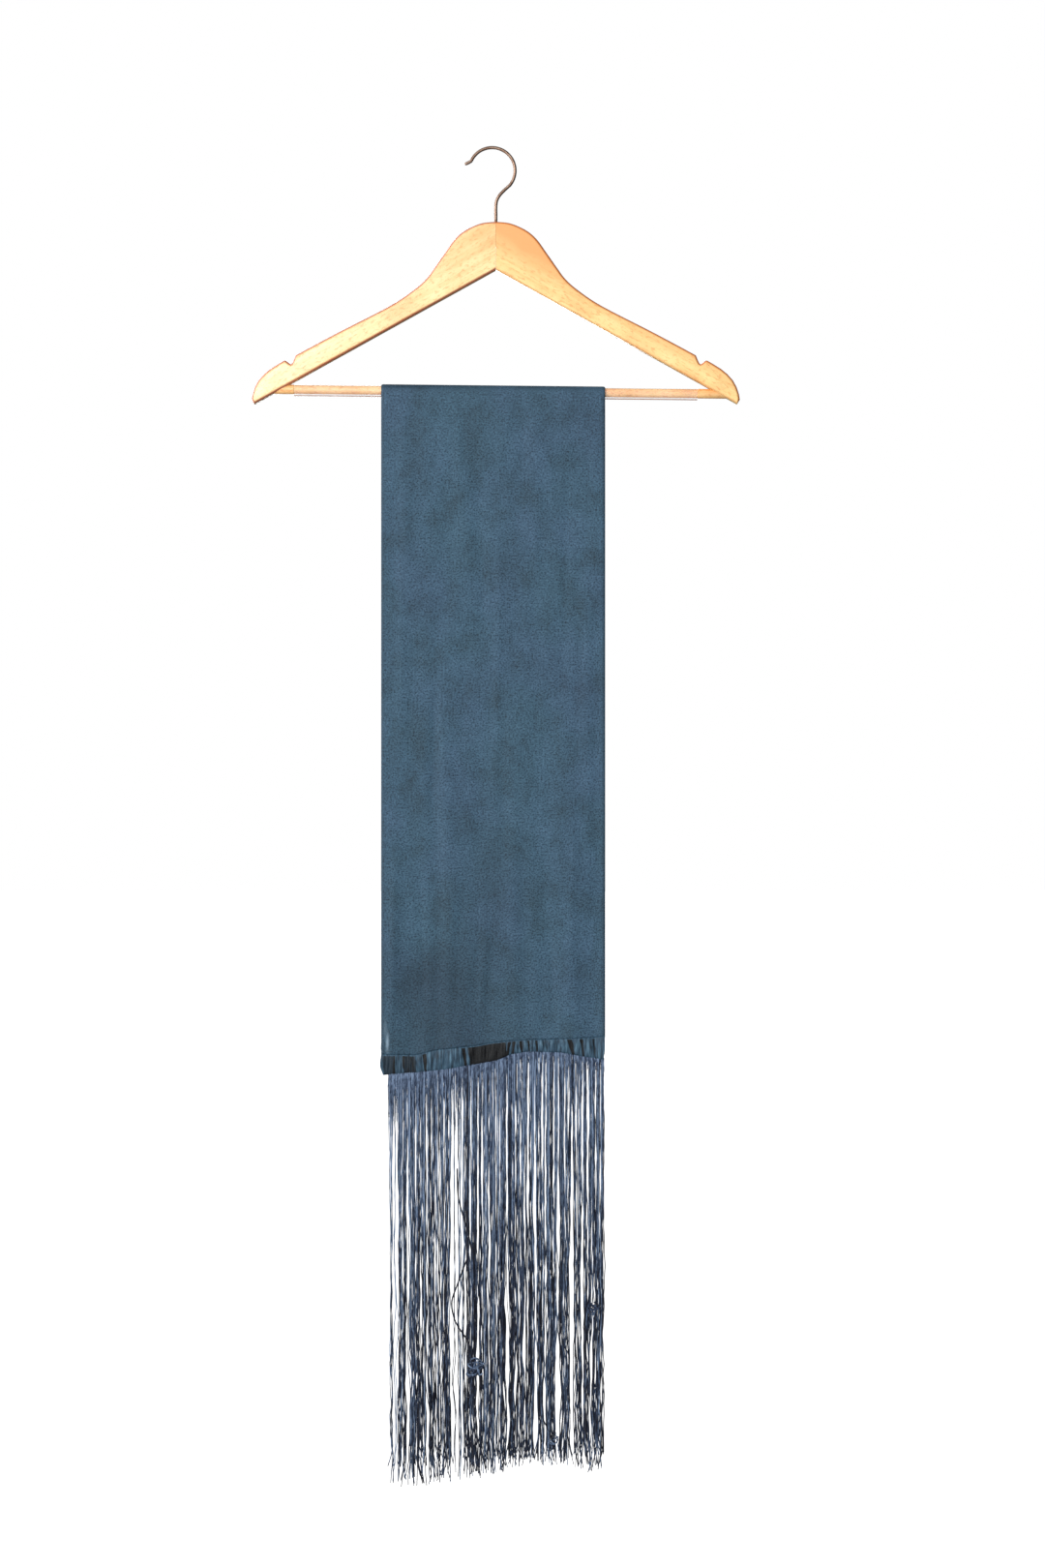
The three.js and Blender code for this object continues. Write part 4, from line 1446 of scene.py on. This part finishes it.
    def long_threads(self, rng: random.Random) -> list[Strand]:
        """Make the long threads, lock by lock; their roots stand in smaller groups.

        Args:
            rng: Random source.

        Returns:
            The threads.
        """
        meets = [
            (at + width / 2 + after - after_width / 2) / 2
            for (at, width, _), (after, after_width, _) in zip(LOCKS, LOCKS[1:])
        ]
        strands = []
        ends = zip(self.locks(), [6.2, *meets], [*meets, CLOTH_WIDTH - 0.6])
        for number, (lock, low, high) in enumerate(ends):
            count = lock[2]
            groups = max(1, round((high - low) / self.group))
            span = (high - low) / groups
            for thread in range(count):
                group = thread * groups // count
                seat = (thread + 0.5) * groups / count - group - 0.5
                sway = 0.6 * math.sin(number * 5.1 + group * 2.3)
                inner = span - 2 * self.radius - 0.3 - 0.6 * math.sin(number * 2.7 + group * 4.1)
                root = low + span * (group + 0.5) + sway + inner * seat + rng.uniform(-0.3, 0.3)
                place = (group + 0.5 + 0.8 * seat) / groups - 0.5
                strands.append(self.thread(rng, root, lock, number, place))
        return strands

    def short_hairs(self, rng: random.Random) -> list[Strand]:
        """Make the short frayed ends at the top of the fringe, longer on the left.

        Args:
            rng: Random source.

        Returns:
            The frayed ends.
        """
        strands = []
        for number in range(self.hairs):
            across = mix(6.4, CLOTH_WIDTH - 0.8, ((number + rng.random()) / self.hairs) ** 1.35)
            left = 1 - smoothstep(across, 45, 110) if self.side is Side.FRONT else 0.3
            long = rng.uniform(*self.hair_length) + left * rng.uniform(*self.hair_left)
            long += (rng.random() < self.hair_long_share) * rng.uniform(*self.hair_long)
            drift, out = rng.uniform(-0.7, 0.7), rng.uniform(-0.9, 1.2)
            start = table_value(HEMS[self.side], across, 2) - self.root_depth
            strand = Strand([], [], [])
            shade = rng.uniform(0.3, 0.85)
            for step in range(self.hair_stations):
                share = step / (self.hair_stations - 1)
                bend = (drift + 0.9 * wander(number * 2.7, share * 3, 1.0)) * share
                strand.points.append(at_scarf(
                    self.side, across + bend, CLOTH_RADIUS + out * share, start + long * share))
                strand.radii.append(self.hair_radius * MM * (1 - 0.5 * share))
                strand.tones.append(shade)
            strands.append(strand)
        return strands

    def build(self) -> list[Object]:
        """Build the long threads and the frayed header.

        Returns:
            The fringe's pieces.
        """
        rng = random.Random(SEED + self.side.value)
        word = self.side.name.lower()
        return [
            strands_piece("fringe_threads_" + word, self.long_threads(rng), "fringe_" + word),
            strands_piece("fringe_header_" + word, self.short_hairs(rng), "fringe_" + word),
        ]


@dataclass
class Tangles:
    """Stray threads and small knots caught in the front fringe."""

    radius: float = 0.72
    stations: int = 30  # points round a loop of a knot
    turns: float = 1.3
    wide: tuple = (0.4, 0.95)  # half width of a loop, in the knot's
    tall: tuple = (0.3, 0.8)
    scatter: float = 0.4  # how far a loop lies from the knot's middle, in its half width
    tones: tuple = (0.15, 0.75)
    stand: float = 2.2  # how far a knot stands out from the fringe's middle

    # Stray threads through (across, drop, out beyond the cloth)
    strays: tuple = (
        ((79, 1010, 0), (69.5, 1035, 2.0), (64.2, 1051, 2.4), (66, 1065, 2.2), (70, 1074, 2.0),
         (79, 1088, 0.6), (82, 1102, 0)),
        ((69, 930, 0), (70, 955, 1.4), (75, 975, 1.8), (79, 988, 1.2), (82, 1004, 0)),
        ((163, 1070, 0), (165, 1088, 1.6), (170, 1098, 2.0), (171, 1106, 1.6), (168, 1120, 0)),
        ((143, 1150, 0), (148, 1160, 1.8), (154, 1172, 1.8), (157, 1186, 0.6)),
        ((86, 1160, 1.5), (88, 1178, 2.2), (92, 1190, 2.0), (95, 1204, 0.8)),
    )
    # Knots as (across, drop, half width, loops)
    knots: tuple = ((86.4, 1111, 8.4, 6), (192.8, 1058, 6.4, 5), (157.0, 1178, 4.2, 2))

    def knot(self, rng: random.Random, across: float, drop: float, size: float) -> Strand:
        """Wind a loose loop round a lock.

        Args:
            rng: Random source.
            across: Middle of the knot.
            drop: Its drop.
            size: Its half width.

        Returns:
            The loop.
        """
        wide, tall = rng.uniform(*self.wide) * size, rng.uniform(*self.tall) * size
        lean, start = rng.uniform(-1.5, 1.5), rng.uniform(0, FULL_TURN)
        across += rng.uniform(-self.scatter, self.scatter) * size
        drop += rng.uniform(-self.scatter, self.scatter) * size
        points = []
        for step in range(self.stations):
            angle = start + step / (self.stations - 1) * FULL_TURN * self.turns
            x, z = wide * math.cos(angle), tall * math.sin(1.25 * angle)
            points.append(at_scarf(
                Side.FRONT, across + x * math.cos(lean) - z * math.sin(lean),
                CLOTH_RADIUS + self.stand + 1.7 * math.sin(angle * 1.5 + lean),
                drop + x * math.sin(lean) + z * math.cos(lean)))
        return self.even_strand(points, rng.uniform(*self.tones))

    def even_strand(self, points: list[Vector], tone: float) -> Strand:
        """Make a thread of one thickness and tone."""
        return Strand(points, [self.radius * MM] * len(points), [tone] * len(points))

    def build(self) -> Object:
        """Build the stray threads and knots.

        Returns:
            Their piece.
        """
        rng = random.Random(SEED + 7)
        strands = []
        for route in self.strays:
            points = [
                at_scarf(Side.FRONT, across, CLOTH_RADIUS + out, drop)
                for across, drop, out in smooth_line(route, 8)
            ]
            strands.append(self.even_strand(points, 0.0))
        strands += [self.knot(rng, *place) for *place, loops in self.knots for _ in range(loops)]
        return strands_piece("fringe_tangles", strands)


# ---------- stage

@dataclass
class Stage:
    """Plain pale floor, white surroundings, soft light from the left, and the camera."""

    distance: float = 3.2
    plane: float = -0.003
    frame_height: float = 1.4305
    middle_x: float = 0.0278
    middle_z: float = -0.5796
    floor_z: float = -1.9
    floor_half: float = 40.0
    glow: float = 0.8
    floor_light: str = "#FCFCFB"
    floor_dark: str = "#F9F9F7"

    # Lights as (name, place, aim, side length in metres, watts)
    lights: tuple = (
        ("key", (-1.5, -1.7, 0.35), (0.0, 0.0, -0.5), 1.0, 19),
        ("glare", (-0.52, -3.2, 0.24), (-0.2, 0.0, -0.18), 0.36, 8),
        ("back", (-0.9, 2.6, 0.3), (0.0, 0.0, -0.6), 1.8, 60),
    )

    # Surroundings: where they are brightest, how fast they dim away from it, and their
    # brightness there and, lowest, on the far side
    sky_way: tuple = (-0.74, -0.66, 0.10)
    sky_fall: float = 2.8
    sky_bright: float = 1.87
    sky_dim: float = 0.05

    def build_floor(self) -> None:
        """Lay a matt white floor under the hanging scarf; it throws no light back."""
        bm = bmesh.new()
        bmesh.ops.create_grid(
            bm, x_segments=8, y_segments=8, size=self.floor_half,
            matrix=Matrix.Translation((0, 0, self.floor_z)))
        floor = bpy.data.objects.new("floor", mesh_of("floor", bm))
        material = bpy.data.materials.new("matt_white_floor")
        material.use_nodes = True
        tree = material.node_tree
        node = partial(add_node, tree)
        place = node("TexCoord", output="Object")
        patches = node("TexNoise", {"Vector": place, "Scale": 3.0})
        colour = node("ValToRGB", {"Fac": patches}, stops=(
            (0.3, self.floor_dark), (0.7, self.floor_light)))
        wire(tree, tree.nodes["Principled BSDF"], {
            "Base Color": colour, "Roughness": 0.9, "Emission Color": (1, 1, 1, 1),
            "Emission Strength": self.glow})
        floor.data.materials.append(material)
        for ray in ("visible_diffuse", "visible_glossy", "visible_shadow"):
            setattr(floor, ray, False)
        bpy.context.scene.collection.objects.link(floor)

    def build_camera(self) -> None:
        """Look straight at the middle of the frame, level, from the front."""
        data = bpy.data.cameras.new("camera")
        data.sensor_width = 36.0
        data.lens = data.sensor_width * self.distance / self.frame_height
        camera = bpy.data.objects.new("camera", data)
        camera.location = (self.middle_x, self.plane - self.distance, self.middle_z)
        camera.rotation_euler = (math.pi / 2, 0, 0)
        bpy.context.scene.collection.objects.link(camera)
        bpy.context.scene.camera = camera

    def add_light(self, name: str, place: tuple, aim: tuple, size: float, power: float) -> None:
        """Add a square soft light.

        Args:
            name: Its name.
            place: Where it stands.
            aim: Where it points.
            size: Side length in metres.
            power: Power in watts.
        """
        data = bpy.data.lights.new(name, "AREA")
        data.size = size
        data.energy = power
        light = bpy.data.objects.new(name, data)
        light.location = place
        light.rotation_euler = (Vector(aim) - Vector(place)).to_track_quat("-Z", "Y").to_euler()
        bpy.context.scene.collection.objects.link(light)

    def build_world(self) -> None:
        """Surroundings bright at the front left and dim behind on the right, seen as white."""
        world = bpy.data.worlds.new("surroundings")
        world.use_nodes = True
        tree = world.node_tree
        node = partial(add_node, tree)
        way = node("TexCoord", output="Generated")
        lean = node("VectorMath", {0: way, 1: self.sky_way}, output="Value",
                    operation="DOT_PRODUCT")
        half = node("Math", {0: lean, 1: 0.5, 2: 0.5}, operation="MULTIPLY_ADD")
        steep = node("Math", {0: half, 1: self.sky_fall}, operation="POWER")
        soft = node("Math", {0: steep, 1: self.sky_bright, 2: self.sky_dim},
                    operation="MULTIPLY_ADD")
        seen = node("LightPath", output="Is Camera Ray")
        strength = node("MapRange", {"Value": seen, "To Min": soft, "To Max": 1.0})
        wire(tree, tree.nodes["Background"], {"Color": (1, 1, 1, 1), "Strength": strength})
        bpy.context.scene.world = world
        bpy.context.scene.view_settings.view_transform = "Standard"

    def build(self) -> None:
        """Set the whole stage."""
        self.build_camera()
        self.build_floor()
        self.build_world()
        for light in self.lights:
            self.add_light(*light)


# ---------- assembly

def main() -> None:
    """Build the scarf on its hanger, dress it and set the stage."""
    logging.basicConfig(level=logging.INFO, format="%(name)s %(message)s")
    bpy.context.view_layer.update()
    Stage().build()
    for piece in Hanger().build():
        report(piece)
    scarf = ScarfCloth()
    cloth = scarf.build()
    report(cloth)
    fringes = []
    for side in Side:
        band = HemBand(side)
        sewn = band.build()
        band.declare(sewn, cloth)
        report(sewn)
        fringes += Fringe(side).build()
    fringes.append(Tangles().build())
    for piece in fringes:
        report(piece)
    scarf.declare(cloth, fringes)


if __name__ == "__main__":
    main()
